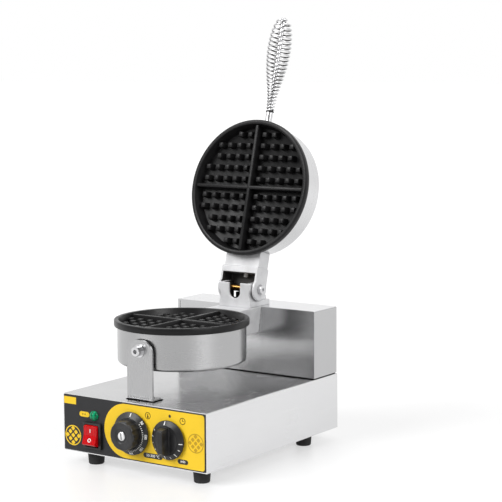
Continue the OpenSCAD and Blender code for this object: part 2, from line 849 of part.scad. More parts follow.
// Back cover of the housing with a bank of louvre slots and folded side flaps
module housing_cover() {
    w = housing_w - 2 * sheet_t - 2 * seat;
    h = housing_h - sheet_t - seat - 0.2;
    z = housing_low + 0.2;
    back = housing_back - cover_in;
    vent_z = housing_low + (housing_h - (vent_count - 1) * vent_pitch) / 2;
    color(steel) stand() difference() {
        union() {
            translate([0, 0, z]) standing(back - cover_t, cover_t) folded(w, h, bend_r);
            for (s = [-1, 1]) translate([s * (w / 2 - sheet_t / 2) - sheet_t / 2, back - cover_flap, z + 4])
                cube([sheet_t, cover_flap, h - 10]);
        }
        for (p = cover_screw_places()) rod_y(p.x, back - 4, p.y, small_screw_d / 2 + screw_fit, 6);
        for (k = [0:vent_count - 1], s = [-1, 1]) translate([s * body_w / 5, 0, vent_z + k * vent_pitch])
            standing(back - 3, 5) slot(vent_l, vent_w);
    }
}

module cover_screws() {
    color("silver") stand() for (p = cover_screw_places())
        translate([p.x, housing_back - cover_in, p.y]) rotate([-90, 0, 0])
            pan_screw(small_screw_d, small_head_d, small_head_h, 2 * small_screw_d);
}

gland_bore_d = 8;
gland_flange_d = 24;

// Cord gland with an open throat
module cord_gland() {
    color("black") stand() translate([gland_x, body_d, gland_z]) rotate([-90, 0, 0]) difference() {
        rotate_extrude() polygon([
            [0, -8], [gland_thread_d / 2, -8], [gland_thread_d / 2, 0], [gland_flange_d / 2, 0],
            [gland_flange_d / 2, 4], [gland_thread_d / 2 + 1.5, 5], [gland_thread_d / 2 - 0.5, 13],
            [gland_thread_d / 2 - 1.5, 14], [0, 14]
        ]);
        translate([0, 0, -9]) cylinder(d = gland_bore_d, h = 25);
    }
}

module gland_nut() {
    color("black") stand() translate([gland_x, body_d - sheet_t, gland_z]) rotate([90, 0, 0])
        hex_nut(gland_flange_d - 2, gland_thread_d + 2 * screw_fit, 5);
}

module terminal_block() {
    ways = 6;
    pitch = 11;
    deep = 20;
    wall_d = 14;
    base_h = 9;
    wall_h = 16;
    color("beige") stand() translate([-deep, housing_y - deep, body_low + bottom_t]) difference() {
        union() {
            cube([ways * pitch, deep, base_h]);
            for (k = [0:ways - 1]) translate([k * pitch + 1, (deep - wall_d) / 2, 0])
                cube([pitch - 2, wall_d, wall_h]);
        }
        for (k = [0:ways - 1]) rod_y((k + 0.5) * pitch, -1, base_h + 1.5, 2.2, deep + 2);
    }
}

// Front bracket

nut_room = 7.6;
// Sagitta of the drum's wall behind the flat nut
nut_lift = lower_shell_r - sqrt(pow(lower_shell_r, 2) - pow(nut_room, 2)) + seat / 2;
bolt_z = rim_top - plate_depth - nut_room - seat;
bracket_up = bolt_z + 15;

module front_bracket() {
    color(steel) stand() difference() {
        union() {
            translate([0, 0, body_top])
                standing(bracket_y, bracket_t) folded(bracket_w, bracket_up - body_top, bracket_r);
            translate([-bracket_w / 2, bracket_y + 1, body_top])
                cube([bracket_w, bracket_foot + bracket_t - 1, bracket_t]);
        }
        across(bracket_w + 2) difference() {
            translate([bracket_y - 1, body_top - 1]) square([bracket_t + 1, bracket_t + 1]);
            translate([bracket_y + bracket_t, body_top + bracket_t]) circle(r = bracket_t);
        }
        rod_y(0, bracket_y - 1, bolt_z, bolt_d / 2 + screw_fit, bracket_t + 2);
        for (x = bracket_screw_xs) translate([x, bracket_screw_y, body_top - 1])
            cylinder(d = small_screw_d + 2 * screw_fit, h = bracket_t + 2);
    }
}

module bracket_screws() {
    color("silver") stand() for (x = bracket_screw_xs)
        translate([x, bracket_screw_y, body_top + bracket_t])
            pan_screw(small_screw_d, small_head_d, small_head_h, bracket_t + sheet_t + 4);
}

washer_t = 1.6;
washer_d = 18;

// Spacer between bracket and drum, its back hollowed to the drum's side
module bracket_spacer() {
    color("silver") stand() difference() {
        rod_y(0, bracket_y + bracket_t, bolt_z, washer_d / 2, spacer_t + 1.4);
        rod_y(0, bracket_y, bolt_z, bolt_d / 2 + screw_fit, spacer_t + 8);
        translate([0, drum_y, drum_low])
            cylinder(r = lower_shell_r + seat / 2, h = lower_shell_h, $fn = fine_fn);
    }
}

module bracket_bolt() {
    bolt_nut_t = 4;
    grip = washer_t + bracket_t + spacer_t + drum_t + nut_lift + bolt_nut_t;
    nut_y = drum_front + drum_t + nut_lift;
    color("silver") stand() {
        translate([0, bracket_y - washer_t, bolt_z]) rotate([90, 0, 0])
            socket_screw(bolt_d, bolt_head_d, bolt_head_h, grip, 6);
        difference() {
            rod_y(0, bracket_y - washer_t, bolt_z, washer_d / 2, washer_t);
            rod_y(0, bracket_y - washer_t - 1, bolt_z, bolt_d / 2, washer_t + 2);
        }
        translate([0, nut_y + bolt_nut_t, bolt_z]) rotate([90, 0, 0]) difference() {
            cylinder(d = 13 / cos(30), h = bolt_nut_t, $fn = 6);
            translate([0, 0, -1]) cylinder(d = bolt_d, h = bolt_nut_t + 2);
        }
    }
}

// Drums

// A round sheet-steel cup, open end up at z = h
module cup(r, h, t, corner) {
    rotate_extrude() difference() {
        union() {
            square([r - corner, h]);
            translate([0, corner]) square([r, h - corner]);
            translate([r - corner, corner]) circle(r = corner);
        }
        union() {
            translate([-1, t]) square([r - corner + 1, h]);
            translate([0, corner]) square([r - t, h]);
            translate([r - corner, corner]) circle(r = corner - t);
        }
    }
}

// Tapered ridges that run along x, one at each place, topped at z = top
module ridges(places, base, top_w, low, top, length) {
    rotate([90, 0, 90]) translate([0, 0, -length / 2]) linear_extrude(length) for (c = places)
        polygon([[c - base / 2, low], [c + base / 2, low], [c + top_w / 2, top], [c - top_w / 2, top]]);
}

function peg_line(count) = [for (k = [0:count - 1]) peg_first + k * peg_pitch];
function both_sides(line) = concat(line, [for (c = line) -c]);
function row_count(y, reach) = floor((sqrt(reach * reach - y * y) - peg_first) / peg_pitch) + 1;

// Cast waffle plate, rim face at z = 0, mould open upwards
module plate(rim_r, mould_r, core_r) {
    floor_r = mould_r - mould_draft;
    floor_z = -mould_depth;
    low = floor_z - 1;
    peg_z = floor_z + peg_h;
    reach = floor_r - 1.6;
    lines = row_count(0, reach);
    edge = 1;
    boss_r = 11;
    difference() {
        union() {
            rotate_extrude() polygon([
                [0, -plate_depth], [core_r, -plate_depth], [core_r, -rim_t], [rim_r - edge, -rim_t],
                [rim_r, -rim_t + edge], [rim_r, -edge], [rim_r - edge, 0], [mould_r, 0],
                [floor_r, floor_z], [0, floor_z]
            ]);
            for (k = [0:lines - 1]) let (y = peg_first + k * peg_pitch, n = row_count(y, reach))
                if (n > 0) for (s = [-1, 1]) intersection() {
                    ridges([s * y], peg_base, peg_top, low, peg_z, 2 * mould_r);
                    rotate(90) ridges(both_sides(peg_line(n)), peg_base, peg_top, low, peg_z, 2 * mould_r);
                    translate([0, 0, low - 1]) cylinder(r = floor_r + 0.8, h = peg_h + 4);
                }
            for (a = [0, 90]) rotate(a) intersection() {
                ridges([0], rib_base, rib_top, low, floor_z + rib_h, 2 * mould_r);
                translate([0, 0, low - 1]) cylinder(r = floor_r + 1.5, h = rib_h + 4);
            }
            translate([0, 0, -plate_depth - heater_d - seat]) cylinder(r = boss_r, h = heater_d + seat + 1);
        }
        translate([0, 0, -plate_depth - heater_d - 1])
            cylinder(d = centre_bolt_d + 2 * screw_fit, h = heater_d + 4);
    }
}

// Round heating element with two ends turned away from the plate, its top at z = 0
module heater(tail) {
    gap = 28;
    translate([0, 0, -heater_d / 2]) {
        rotate(-90 + gap / 2) rotate_extrude(angle = 360 - gap)
            translate([heater_r, 0]) circle(d = heater_d);
        for (s = [-1, 1]) rotate(-90 + s * gap / 2)
            translate([heater_r, 0, -tail]) cylinder(d = heater_d, h = tail);
        for (s = [-1, 1]) rotate(-90 + s * gap / 2)
            translate([heater_r, 0, -tail - 8]) cylinder(d = 3.2, h = 8.5);
    }
}

module clamp_disc() {
    gap = 40;
    difference() {
        cylinder(r = heater_r + heater_d, h = clamp_t);
        translate([0, 0, -1]) cylinder(d = centre_bolt_d + 2 * screw_fit, h = clamp_t + 2);
        for (a = [0:60:300]) rotate(a) translate([heater_r * 0.55, 0, -1]) cylinder(r = 9, h = clamp_t + 2);
        rotate(-90) translate([heater_r - 12, -gap / 2, -1]) cube([gap, gap, clamp_t + 2]);
    }
}

// Insulation pad from z = 0 up, open where the element's ends pass
module insulation(r, h) {
    difference() {
        cylinder(r = r, h = h);
        translate([0, 0, -1]) cylinder(r = m6_head_d, h = h + 2);
        rotate(-90) translate([heater_r, 0, -1]) linear_extrude(h + 2) rotate(90) slot(50, 20);
    }
}

clamp_down = plate_depth + heater_d + 2 * seat + clamp_t;
heater_tail = 8;
pad_gap = 3;

module at_drum(z) {
    stand() translate([0, drum_y, z]) children();
}

// Frame of the shut upper drum, z = 0 at its rim face and z up into the drum
module at_lid() {
    stand() lid() translate([0, drum_y, shut_z]) children();
}

module lower_shell() {
    color(steel) stand() difference() {
        translate([0, drum_y, drum_low]) cup(lower_shell_r, lower_shell_h, drum_t, drum_corner);
        rod_y(0, drum_front - 2, bolt_z, bolt_d / 2 + screw_fit, 8);
        translate([0, drum_y, drum_low - 1]) cylinder(d = centre_bolt_d + 2 * screw_fit, h = drum_t + 2);
        for (s = [-1, 1]) rod_y(s * drum_bolt_x, drum_back - 8, pedestal_mid, m6_d / 2 + screw_fit, 12);
        rod_y(0, drum_back - 8, pedestal_mid, lead_hole_d / 2, 12);
    }
}

drum_bolt_x = 17;
lead_hole_d = 10;
pedestal_low = housing_top - pedestal_h;
pedestal_mid = pedestal_low + lead_hole_d / 2 + 1.8;
pad_in = 10;

module lower_plate() { color(plate_black) at_drum(rim_top) plate(lower_rim_r, lower_mould_r, lower_core_r); }

module lower_heater() { color("tan") at_drum(rim_top - plate_depth - seat) heater(heater_tail); }

module lower_clamp() { color("silver") at_drum(rim_top - clamp_down) clamp_disc(); }

module lower_insulation() {
    h = rim_top - clamp_down - pad_gap * seat - drum_low - drum_t;
    color("ivory") at_drum(drum_low + drum_t + seat) insulation(lower_core_r - pad_in, h - seat);
}

// Centre bolt: head under the drum, through the pad and clamp into the plate's boss
module centre_bolt(length) {
    rotate([180, 0, 0])
        socket_screw(centre_bolt_d, centre_bolt_d * 1.6, centre_bolt_d * 0.7, length, socket_af);
}

module clamp_nut() {
    hex_nut(13, centre_bolt_d, 5);
}

module lower_bolt() {
    color("silver") {
        at_drum(drum_low) centre_bolt(rim_top - plate_depth - drum_low - 2);
        at_drum(rim_top - clamp_down - 5 - seat) clamp_nut();
    }
}

module upper_shell() {
    h = upper_shell_h;
    inside = drum_y + upper_shell_r - 10;
    color(steel) stand() lid() difference() {
        translate([0, drum_y, shut_z + rim_t + h]) mirror([0, 0, 1])
            cup(upper_shell_r, h, drum_t, drum_corner);
        handle_axis() translate([0, 0, -stud_in]) cylinder(d = stud_d + 2 * screw_fit, h = 2 * stud_in);
        for (s = [-1, 1]) rod_y(s * arm_screw_x, inside, arm_screw_z, m6_d / 2 + screw_fit, 14);
        rod_y(0, inside, lead_z, lead_d / 2 + 1, 14);
        translate([0, drum_y, shut_z + rim_t + h - 2]) cylinder(d = centre_bolt_d + 2 * screw_fit, h = 4);
    }
}

module upper_plate() {
    color(plate_black) at_lid() mirror([0, 0, 1]) plate(upper_rim_r, upper_mould_r, upper_core_r);
}

module upper_heater() {
    color("tan") at_lid() mirror([0, 0, 1]) translate([0, 0, -plate_depth - seat]) rotate(180) heater(2);
}

module upper_clamp() {
    color("silver") at_lid() mirror([0, 0, 1]) translate([0, 0, -clamp_down]) rotate(180) clamp_disc();
}

upper_room = upper_shell_h + rim_t - drum_t - clamp_down;

module upper_insulation() {
    h = upper_room - 2 * seat;
    color("ivory") at_lid() translate([0, 0, clamp_down + seat]) rotate(180)
        insulation(upper_core_r - pad_in, h);
}

module upper_bolt() {
    color("silver") at_lid() {
        translate([0, 0, rim_t + upper_shell_h]) mirror([0, 0, 1])
            centre_bolt(rim_t + upper_shell_h - plate_depth - 2);
        translate([0, 0, clamp_down + seat]) clamp_nut();
    }
}

// Pedestal and hinge

// Cast pedestal: a tapered tube between the drum and the housing
module pedestal() {
    w = pedestal_wall;
    face = 8;
    front = drum_back - 6;
    room = rim_low - pedestal_low;
    color("whitesmoke") stand() difference() {
        standing(front, housing_y - front) flared(0, 0);
        standing(drum_back + face, housing_y - drum_back) flared(w, 1);
        translate([0, drum_y, pedestal_low - 1]) cylinder(r = lower_shell_r + seat, h = room + 0.9);
        translate([0, drum_y, rim_low - seat]) cylinder(r = lower_rim_r + seat, h = rim_t + 4);
        rod_y(0, drum_back - face, pedestal_mid, lead_hole_d / 2, 3 * face);
        for (s = [-1, 1])
            rod_y(s * drum_bolt_x, drum_back - face, pedestal_mid, m6_d / 2 + screw_fit, 4 * face);
        pedestal_bolt_places() cylinder(d = m6_d + 2 * screw_fit, h = 8, center = true);
        for (x = [-casting_front_x, casting_front_x])
            translate([x, casting_front_screw_y, housing_top - w - 1])
                cylinder(d = m6_d + 2 * screw_fit, h = w + 2);
    }
}

// Section of the pedestal, wider at its top, drawn w inside its outside
module flared(w, extra) {
    low = pedestal_low_w / 2 - w;
    top = pedestal_top_w / 2 - w - extra;
    polygon([
        [-low, pedestal_low + w], [low, pedestal_low + w], [top, housing_top - w], [-top, housing_top - w]
    ]);
}

module pedestal_bolt_places() {
    for (s = [-1, 1])
        translate([s * (pedestal_low_w / 2 - pedestal_wall), housing_y, pedestal_low + pedestal_wall / 2 + 1])
            rotate([90, 0, 0]) children();
}

// Bolts that hold the drum to the pedestal, and the pedestal to the housing
module pedestal_bolts() {
    inside_r = lower_shell_r - drum_t;
    head_y = drum_y + sqrt(pow(inside_r, 2) - pow(drum_bolt_x, 2)) - 2;
    color("silver") stand() {
        for (s = [-1, 1]) translate([s * drum_bolt_x, head_y, pedestal_mid])
            rotate([90, 0, 0]) socket_screw(m6_d, m6_head_d, m6_head_h, 22, socket_af);
        pedestal_bolt_places() translate([0, 0, -sheet_t - housing_recess]) rotate([180, 0, 0])
            socket_screw(m6_d - 2, m6_head_d - 3, m6_head_h - 2, 5, 3);
    }
}

casting_front_y = hinge_y - casting_fore;
casting_front_x = 12;
casting_front_screw_y = hinge_y - 6;
casting_screw_x = 20;
casting_rear_screw_y = hinge_y + 25;
casting_back_y = hinge_y + 32;
casting_lead_y = hinge_y + 16;
ear_out = casting_w / 2;
waist_r = 20;
waist_bite = 2.4;
notch_low = casting_top + 5;

web_tail = 4;
web_low = ear_up + 0.6;
web_high = web_low + web_t;
stop_w = 36;
stop_z = hinge_z - web_tail * sin(open_angle) + web_high * cos(open_angle) - seat;

// Lower hinge casting: foot, two ears, a round-bottomed notch between them and a stop pad
module hinge_casting() {
    ear_top = hinge_z + ear_up;
    foot_top = casting_top - 1;
    color("whitesmoke") stand() difference() {
        union() {
            translate([-ear_out, casting_front_y, housing_top])
                cube([casting_w, casting_back_y - casting_front_y, casting_foot]);
            intersection() {
                across(casting_w) {
                    translate([casting_front_y, foot_top]) square([casting_fore, ear_top - foot_top]);
                    translate([hinge_y, hinge_z]) circle(r = ear_up);
                    translate([casting_front_y, foot_top])
                        square([casting_fore + ear_up * 0.8, hinge_z - foot_top]);
                }
                standing(casting_front_y - 1, casting_fore + ear_up + 4) difference() {
                    translate([-ear_out, housing_top]) square([casting_w, ear_top - housing_top + 1]);
                    for (s = [-1, 1])
                        translate([s * (ear_out + waist_r - waist_bite), (casting_top + hinge_z) / 2])
                            circle(r = waist_r);
                }
            }
            stop_pad();
        }
        difference() {
            translate([-ear_out + ear_t, casting_front_y + notch_wall, casting_top])
                cube([casting_w - 2 * ear_t, casting_fore + 2 * ear_up, hinge_z]);
            stop_pad();
        }
        standing(casting_front_y - 1, notch_wall + 2) {
            translate([0, notch_low + notch_w / 2]) circle(d = notch_w);
            translate([-notch_w / 2, notch_low + notch_w / 2]) square([notch_w, ear_top]);
        }
        rod_x(-ear_out - 1, hinge_y, hinge_z, pin_d / 2 + shaft_fit, casting_w + 2);
        for (x = [-casting_front_x, casting_front_x]) translate([x, casting_front_screw_y, housing_top - 1])
            cylinder(d = m6_d + 2 * screw_fit, h = casting_foot + 2);
        for (x = [-casting_screw_x, casting_screw_x]) translate([x, casting_rear_screw_y, housing_top - 1])
            cylinder(d = m6_d + 2 * screw_fit, h = casting_foot + 2);
        translate([0, casting_lead_y, housing_top - 1]) cylinder(d = lead_hole_d, h = casting_foot + 20);
    }
}

// Pad behind the pin that the opened lid's web comes to rest on
module stop_pad() {
    pad = 9;
    translate([-stop_w / 2, hinge_y + pad, casting_top - 1])
        cube([stop_w, pad, stop_z - casting_top + 1]);
}

module hinge_screws() {
    tapped = pedestal_wall + 1;
    color("silver") stand() {
        for (x = [-casting_front_x, casting_front_x]) translate([x, casting_front_screw_y, casting_top])
            socket_screw(m6_d, m6_head_d, m6_head_h - 2, casting_foot + tapped - 2, socket_af);
        for (x = [-casting_screw_x, casting_screw_x]) translate([x, casting_rear_screw_y, casting_top])
            socket_screw(m6_d, m6_head_d, m6_head_h, casting_foot + tapped, socket_af);
    }
}

cheek_in = ear_out + run;
cheek_out = cheek_in + cheek_t;
pin_head_d = 14;
pin_head_h = 5;

module hinge_pin() {
    color("silver") stand() translate([cheek_out + run, hinge_y, hinge_z]) rotate([0, 90, 0])
        socket_screw(pin_d, pin_head_d, pin_head_h, 2 * cheek_out + 2 * run + 8, socket_af);
}

module hinge_nut() {
    color("silver") stand() translate([-cheek_out - run - 6.5, hinge_y, hinge_z]) rotate([0, 90, 0])
        hex_nut(13, pin_d, 6.5);
}

arm_root_y = drum_y + upper_shell_r - 8;
neck_l = 20;
neck_w = 61;
neck_face_y = drum_y + upper_shell_r + neck_l;
arm_low = hinge_z - neck_down;
arm_top = hinge_z + web_high;
bar_y = hinge_y - casting_fore - run - 1 - cross_bar;
sweep_r = sqrt(pow(casting_fore, 2) + pow(ear_up, 2)) + run;
arm_screw_x = 18;
arm_screw_z = shut_z + plate_depth + m6_head_d / 2 + 1.5;
lead_d = 6;
lead_z = arm_screw_z - 2;
arm_tap_l = 25;

// Lid arm: a cast neck seated on the drum, a cross bar, two cheeks on the pin and a web
// behind them, drawn with the lid shut
module lid_arm() {
    neck_end = bar_y + cross_bar;
    bar_low = hinge_z - bar_down;
    bar_h = arm_top - bar_low;
    color("whitesmoke") stand() lid() difference() {
        union() {
            translate([-neck_w / 2, arm_root_y, arm_low])
                cube([neck_w, neck_end - arm_root_y, arm_top - arm_low]);
            translate([-cheek_out, bar_y, bar_low]) cube([2 * cheek_out, cross_bar, bar_h]);
            for (s = [-1, 1]) translate([s * (cheek_in + cheek_t / 2), 0, 0]) across(cheek_t) {
                translate([hinge_y, hinge_z]) circle(r = cheek_r);
                translate([bar_y, bar_low]) square([hinge_y - bar_y, bar_h]);
            }
            translate([-cheek_out, bar_y, hinge_z + web_low])
                cube([2 * cheek_out, hinge_y + web_tail - bar_y, web_t]);
        }
        translate([0, drum_y, shut_z - 5]) cylinder(r = upper_shell_r + seat / 2, h = upper_shell_r);
        intersection() {
            rod_x(-cheek_in, hinge_y, hinge_z, sweep_r, 2 * cheek_in);
            translate([-cheek_in, hinge_y - sweep_r, hinge_z - sweep_r - 1])
                cube([2 * cheek_in, 3 * sweep_r, sweep_r + 1 + web_low]);
        }
        rod_x(-cheek_out - 1, hinge_y, hinge_z, pin_d / 2 + shaft_fit, 2 * cheek_out + 2);
        rod_y(0, arm_root_y - 1, lead_z, lead_d / 2 + 1, neck_end - arm_root_y + 12);
        for (s = [-1, 1])
            rod_y(s * arm_screw_x, arm_root_y - 1, arm_screw_z, m6_d / 2 + screw_fit, arm_tap_l);
    }
}

module arm_screws() {
    seat_y = drum_y + sqrt(pow(upper_shell_r - drum_t, 2) - pow(arm_screw_x, 2)) - 1.6;
    color("silver") stand() lid() for (s = [-1, 1])
        translate([s * arm_screw_x, seat_y, arm_screw_z]) rotate([90, 0, 0])
            socket_screw(m6_d, m6_head_d, m6_head_h - 1, 18, socket_af);
}

// Sleeved lead in the lid arm, from the drum through the neck to the hinge's hollow
module lid_lead() {
    start = drum_y + upper_shell_r - 9;
    stop = hinge_y - sweep_r + 6;
    color("white") stand() lid() rod_y(0, start, lead_z, lead_d / 2, stop - start);
}

// Handle

// Frame of the handle: z = 0 on the drum's side, z out along the rod
module handle_axis() {
    translate([0, rod_root_y, handle_z]) rotate([90 - handle_slope, 0, 0]) children();
}

module at_handle() {
    stand() lid() handle_axis() children();
}

// Rod with a boss hollowed to the drum's side, a stud through it and a domed tip inside the
// grip's last turn
module handle_rod() {
    length = handle_l + tip_l - wire_d;
    tip = coil_tip_r - wire_d / 2 - seat;
    color("silver") {
        difference() {
            at_handle() translate([0, 0, -1]) cylinder(d = boss_d, h = handle_stub + 1);
            at_lid() cylinder(r = upper_shell_r + seat / 2, h = 2 * plate_depth, $fn = fine_fn);
        }
        at_handle() {
            translate([0, 0, -stud_in]) cylinder(d = stud_d, h = 2 * stud_in);
            translate([0, 0, seat]) cylinder(d = rod_d, h = length - tip - seat);
            translate([0, 0, length - tip]) intersection() {
                sphere(r = tip);
                cylinder(r = tip, h = tip);
            }
            translate([0, 0, length - tip - 3]) cylinder(r = tip, h = 3);
        }
    }
}

// Nut on the rod's stud, inside the drum
module handle_nut() {
    color("silver") at_handle() translate([0, 0, -drum_t - seat - stud_nut_t])
        hex_nut(stud_nut_af, stud_d + 2 * shaft_fit, stud_nut_t);
}

module handle_collar() {
    color("black") at_handle() translate([0, 0, handle_stub]) difference() {
        rotate_extrude() polygon([
            [0, 0], [collar_d / 2 - 1, 0], [collar_d / 2, 1], [collar_d / 2, collar_t - 1],
            [collar_d / 2 - 1, collar_t], [0, collar_t]
        ]);
        translate([0, 0, -1]) cylinder(d = rod_d + 2 * shaft_fit, h = collar_t + 2);
    }
}

coil_steps = 16;
wire_sides = 6;
coil_rings = coil_steps * grip_turns;

// Radius of the coil at a share u of its length: a swelling pear that closes at the tip
function coil_r(u) = u < coil_peak
    ? coil_start_r + (coil_max_r - coil_start_r) * (1 - cos(180 * u / coil_peak)) / 2
    : coil_tip_r + (coil_max_r - coil_tip_r) * sqrt(max(0, 1 - pow((u - coil_peak) / (1 - coil_peak), 2)));
// Height of the wire's middle: the turns open out towards the tip
function coil_z(u) = let (share = even_pitch * u + (1 - even_pitch) * u * u)
    wire_d / 2 + seat + (grip_l - wire_d - seat) * share;

// Coiled wire grip, one tube swept along a helix of changing radius
module handle_spring() {
    rings = [
        for (i = [0:coil_rings])
            let (u = i / coil_rings, turn = 360 * i / coil_steps, r = coil_r(u), z = coil_z(u))
            for (k = [0:wire_sides - 1])
                let (a = 360 * k / wire_sides, w = r + wire_d / 2 * cos(a))
                [w * cos(turn), w * sin(turn), z + wire_d / 2 * sin(a)]
    ];
    sides = [
        for (i = [0:coil_rings - 1], k = [0:wire_sides - 1])
            let (n = (k + 1) % wire_sides, a = i * wire_sides)
            [a + k, a + k + wire_sides, a + n + wire_sides, a + n]
    ];
    first = [for (k = [0:wire_sides - 1]) k];
    last = [for (k = [0:wire_sides - 1]) coil_rings * wire_sides + wire_sides - 1 - k];
    color("silver") at_handle() translate([0, 0, handle_stub + collar_t])
        polyhedron(points = rings, faces = concat([first], sides, [last]), convexity = 8);
}

// Show

base_shell();
bottom_plate();
bottom_screws();
foot_front_left();
foot_front_right();
foot_rear_left();
foot_rear_right();
foot_screws();
panel_sheet();
dial_field();
rear_housing();
housing_seam();
housing_cover();
cover_screws();
cord_gland();
gland_nut();
terminal_block();
thermostat_body();
thermostat_nut();
temp_shaft();
temp_knob();
temp_cap();
timer_body();
timer_nut();
timer_shaft();
timer_knob();
switch_housing();
switch_rocker();
lamp_body();
lamp_lens();
front_bracket();
bracket_spacer();
bracket_bolt();
bracket_screws();
lower_shell();
lower_plate();
lower_heater();
lower_clamp();
lower_insulation();
lower_bolt();
pedestal();
pedestal_bolts();
hinge_casting();
hinge_screws();
hinge_pin();
hinge_nut();
lid_arm();
arm_screws();
lid_lead();
upper_shell();
upper_plate();
upper_heater();
upper_clamp();
upper_insulation();
upper_bolt();
handle_rod();
handle_nut();
handle_collar();
handle_spring();
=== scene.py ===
import json
import math
import bmesh
import bpy
from mathutils import Matrix, Vector
from mathutils.kdtree import KDTree


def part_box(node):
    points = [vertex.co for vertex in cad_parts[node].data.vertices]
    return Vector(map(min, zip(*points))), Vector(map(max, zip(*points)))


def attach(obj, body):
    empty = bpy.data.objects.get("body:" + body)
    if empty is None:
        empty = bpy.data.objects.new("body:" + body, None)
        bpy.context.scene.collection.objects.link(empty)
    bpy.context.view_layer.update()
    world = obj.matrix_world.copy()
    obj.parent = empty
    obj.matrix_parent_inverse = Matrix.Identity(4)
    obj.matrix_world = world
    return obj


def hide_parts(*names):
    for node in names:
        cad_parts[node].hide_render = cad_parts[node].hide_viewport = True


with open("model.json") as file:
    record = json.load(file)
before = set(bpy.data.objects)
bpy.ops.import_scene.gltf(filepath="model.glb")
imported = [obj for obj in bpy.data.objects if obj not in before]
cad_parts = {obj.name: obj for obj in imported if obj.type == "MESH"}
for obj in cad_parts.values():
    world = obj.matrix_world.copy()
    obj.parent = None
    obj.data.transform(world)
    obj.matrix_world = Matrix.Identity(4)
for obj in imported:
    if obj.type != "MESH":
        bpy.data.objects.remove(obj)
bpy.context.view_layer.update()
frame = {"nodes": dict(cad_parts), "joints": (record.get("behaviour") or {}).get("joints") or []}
print("frame loaded:", len(frame["nodes"]), "nodes")

# Bench millimetres, as the solids are drawn: y = 0 on the body's front face, z = 0 under the feet
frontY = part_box("base_shell")[0].y
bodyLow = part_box("base_shell")[0].z * 1000
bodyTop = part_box("base_shell")[1].z * 1000


def at(x, y, z):
    return Vector((x / 1000, frontY + y / 1000, z / 1000))


def middleOf(node):
    # middle of a node's box, in bench millimetres
    low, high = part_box(node)
    middle = (low + high) * 500
    return Vector((middle.x, middle.y - frontY * 1000, middle.z))


def halfWidth(node):
    low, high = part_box(node)
    return (high.x - low.x) * 500


def addPart(target, part, matrix):
    # one bmesh goes into another, moved by a matrix
    carrier = bpy.data.meshes.new("carrier")
    part.to_mesh(carrier)
    part.free()
    carrier.transform(matrix)
    target.from_mesh(carrier)
    bpy.data.meshes.remove(carrier)


def makePiece(name, bm, finish, body, stands=(), sharp=35):
    # a bmesh becomes a piece that rides on a body, and may stand for CAD nodes
    mesh = bpy.data.meshes.new(name)
    bm.to_mesh(mesh)
    bm.free()
    return placeMesh(name, mesh, finish, body, stands, sharp)


def placeMesh(name, mesh, finish, body, stands=(), sharp=35):
    mesh.shade_smooth()
    if sharp < 180:
        mesh.set_sharp_from_angle(angle=math.radians(sharp))
    piece = bpy.data.objects.new(name, mesh)
    bpy.context.scene.collection.objects.link(piece)
    mesh.materials.clear()
    mesh.materials.append(finish)
    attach(piece, body)
    if stands:
        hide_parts(*stands)
    return piece


def plaque(width, height, radius, thick, segments=8):
    # flat rounded plate, centred, its back on z = 0
    bm = bmesh.new()
    bmesh.ops.create_cube(bm, size=1)
    bmesh.ops.scale(bm, vec=(width, height, thick), verts=bm.verts)
    bmesh.ops.translate(bm, vec=(0, 0, thick / 2), verts=bm.verts)
    upright = [e for e in bm.edges if abs((e.verts[0].co - e.verts[1].co).z) > thick * 0.9]
    limit = min(width, height) / 2 * 0.995
    bmesh.ops.bevel(bm, geom=upright, offset=min(radius, limit), offset_type="OFFSET", affect="EDGES",
                    segments=segments, profile=0.5, material=-1)
    return bm


def framePlate(width, height, border, thick):
    # flat rectangular frame, its back on z = 0
    bm = bmesh.new()
    bmesh.ops.create_grid(bm, x_segments=1, y_segments=1, size=0.5)
    bmesh.ops.scale(bm, vec=(width, height, 1), verts=bm.verts)
    inner = list(bm.faces)
    bmesh.ops.inset_region(bm, faces=inner, thickness=border, use_boundary=True, use_even_offset=True)
    bmesh.ops.delete(bm, geom=inner, context="FACES")
    raised = bmesh.ops.extrude_face_region(bm, geom=list(bm.faces))
    moved = [v for v in raised["geom"] if isinstance(v, bmesh.types.BMVert)]
    bmesh.ops.translate(bm, vec=(0, 0, thick), verts=moved)
    bmesh.ops.recalc_face_normals(bm, faces=bm.faces)
    return bm


def ringPlate(outer, inner, thick, segments=64):
    # flat ring, its back on z = 0
    return lathe([(inner, 0), (outer, 0), (outer, thick), (inner, thick), (inner, 0)], segments)


def discPlate(radius, thick):
    # flat disc, its back on z = 0
    bm = bmesh.new()
    bmesh.ops.create_cone(bm, cap_ends=True, segments=32, radius1=radius, radius2=radius * 0.98, depth=thick)
    bmesh.ops.translate(bm, vec=(0, 0, thick / 2), verts=bm.verts)
    return bm


def lettering(words, size, thick, bold=0.0):
    # a word as a flat solid, centred on its middle
    curve = bpy.data.curves.new("lettering", "FONT")
    curve.body = words
    curve.size = size
    curve.align_x = "CENTER"
    curve.align_y = "CENTER"
    curve.extrude = thick / 2
    curve.offset = bold
    curve.resolution_u = 3
    holder = bpy.data.objects.new("lettering", curve)
    bpy.context.scene.collection.objects.link(holder)
    bpy.context.view_layer.update()
    shaped = holder.evaluated_get(bpy.context.evaluated_depsgraph_get())
    mesh = bpy.data.meshes.new_from_object(shaped)
    mesh.transform(Matrix.Translation((0, 0, thick / 2)))
    bm = bmesh.new()
    bm.from_mesh(mesh)
    bpy.data.objects.remove(holder)
    bpy.data.curves.remove(curve)
    bpy.data.meshes.remove(mesh)
    return bm


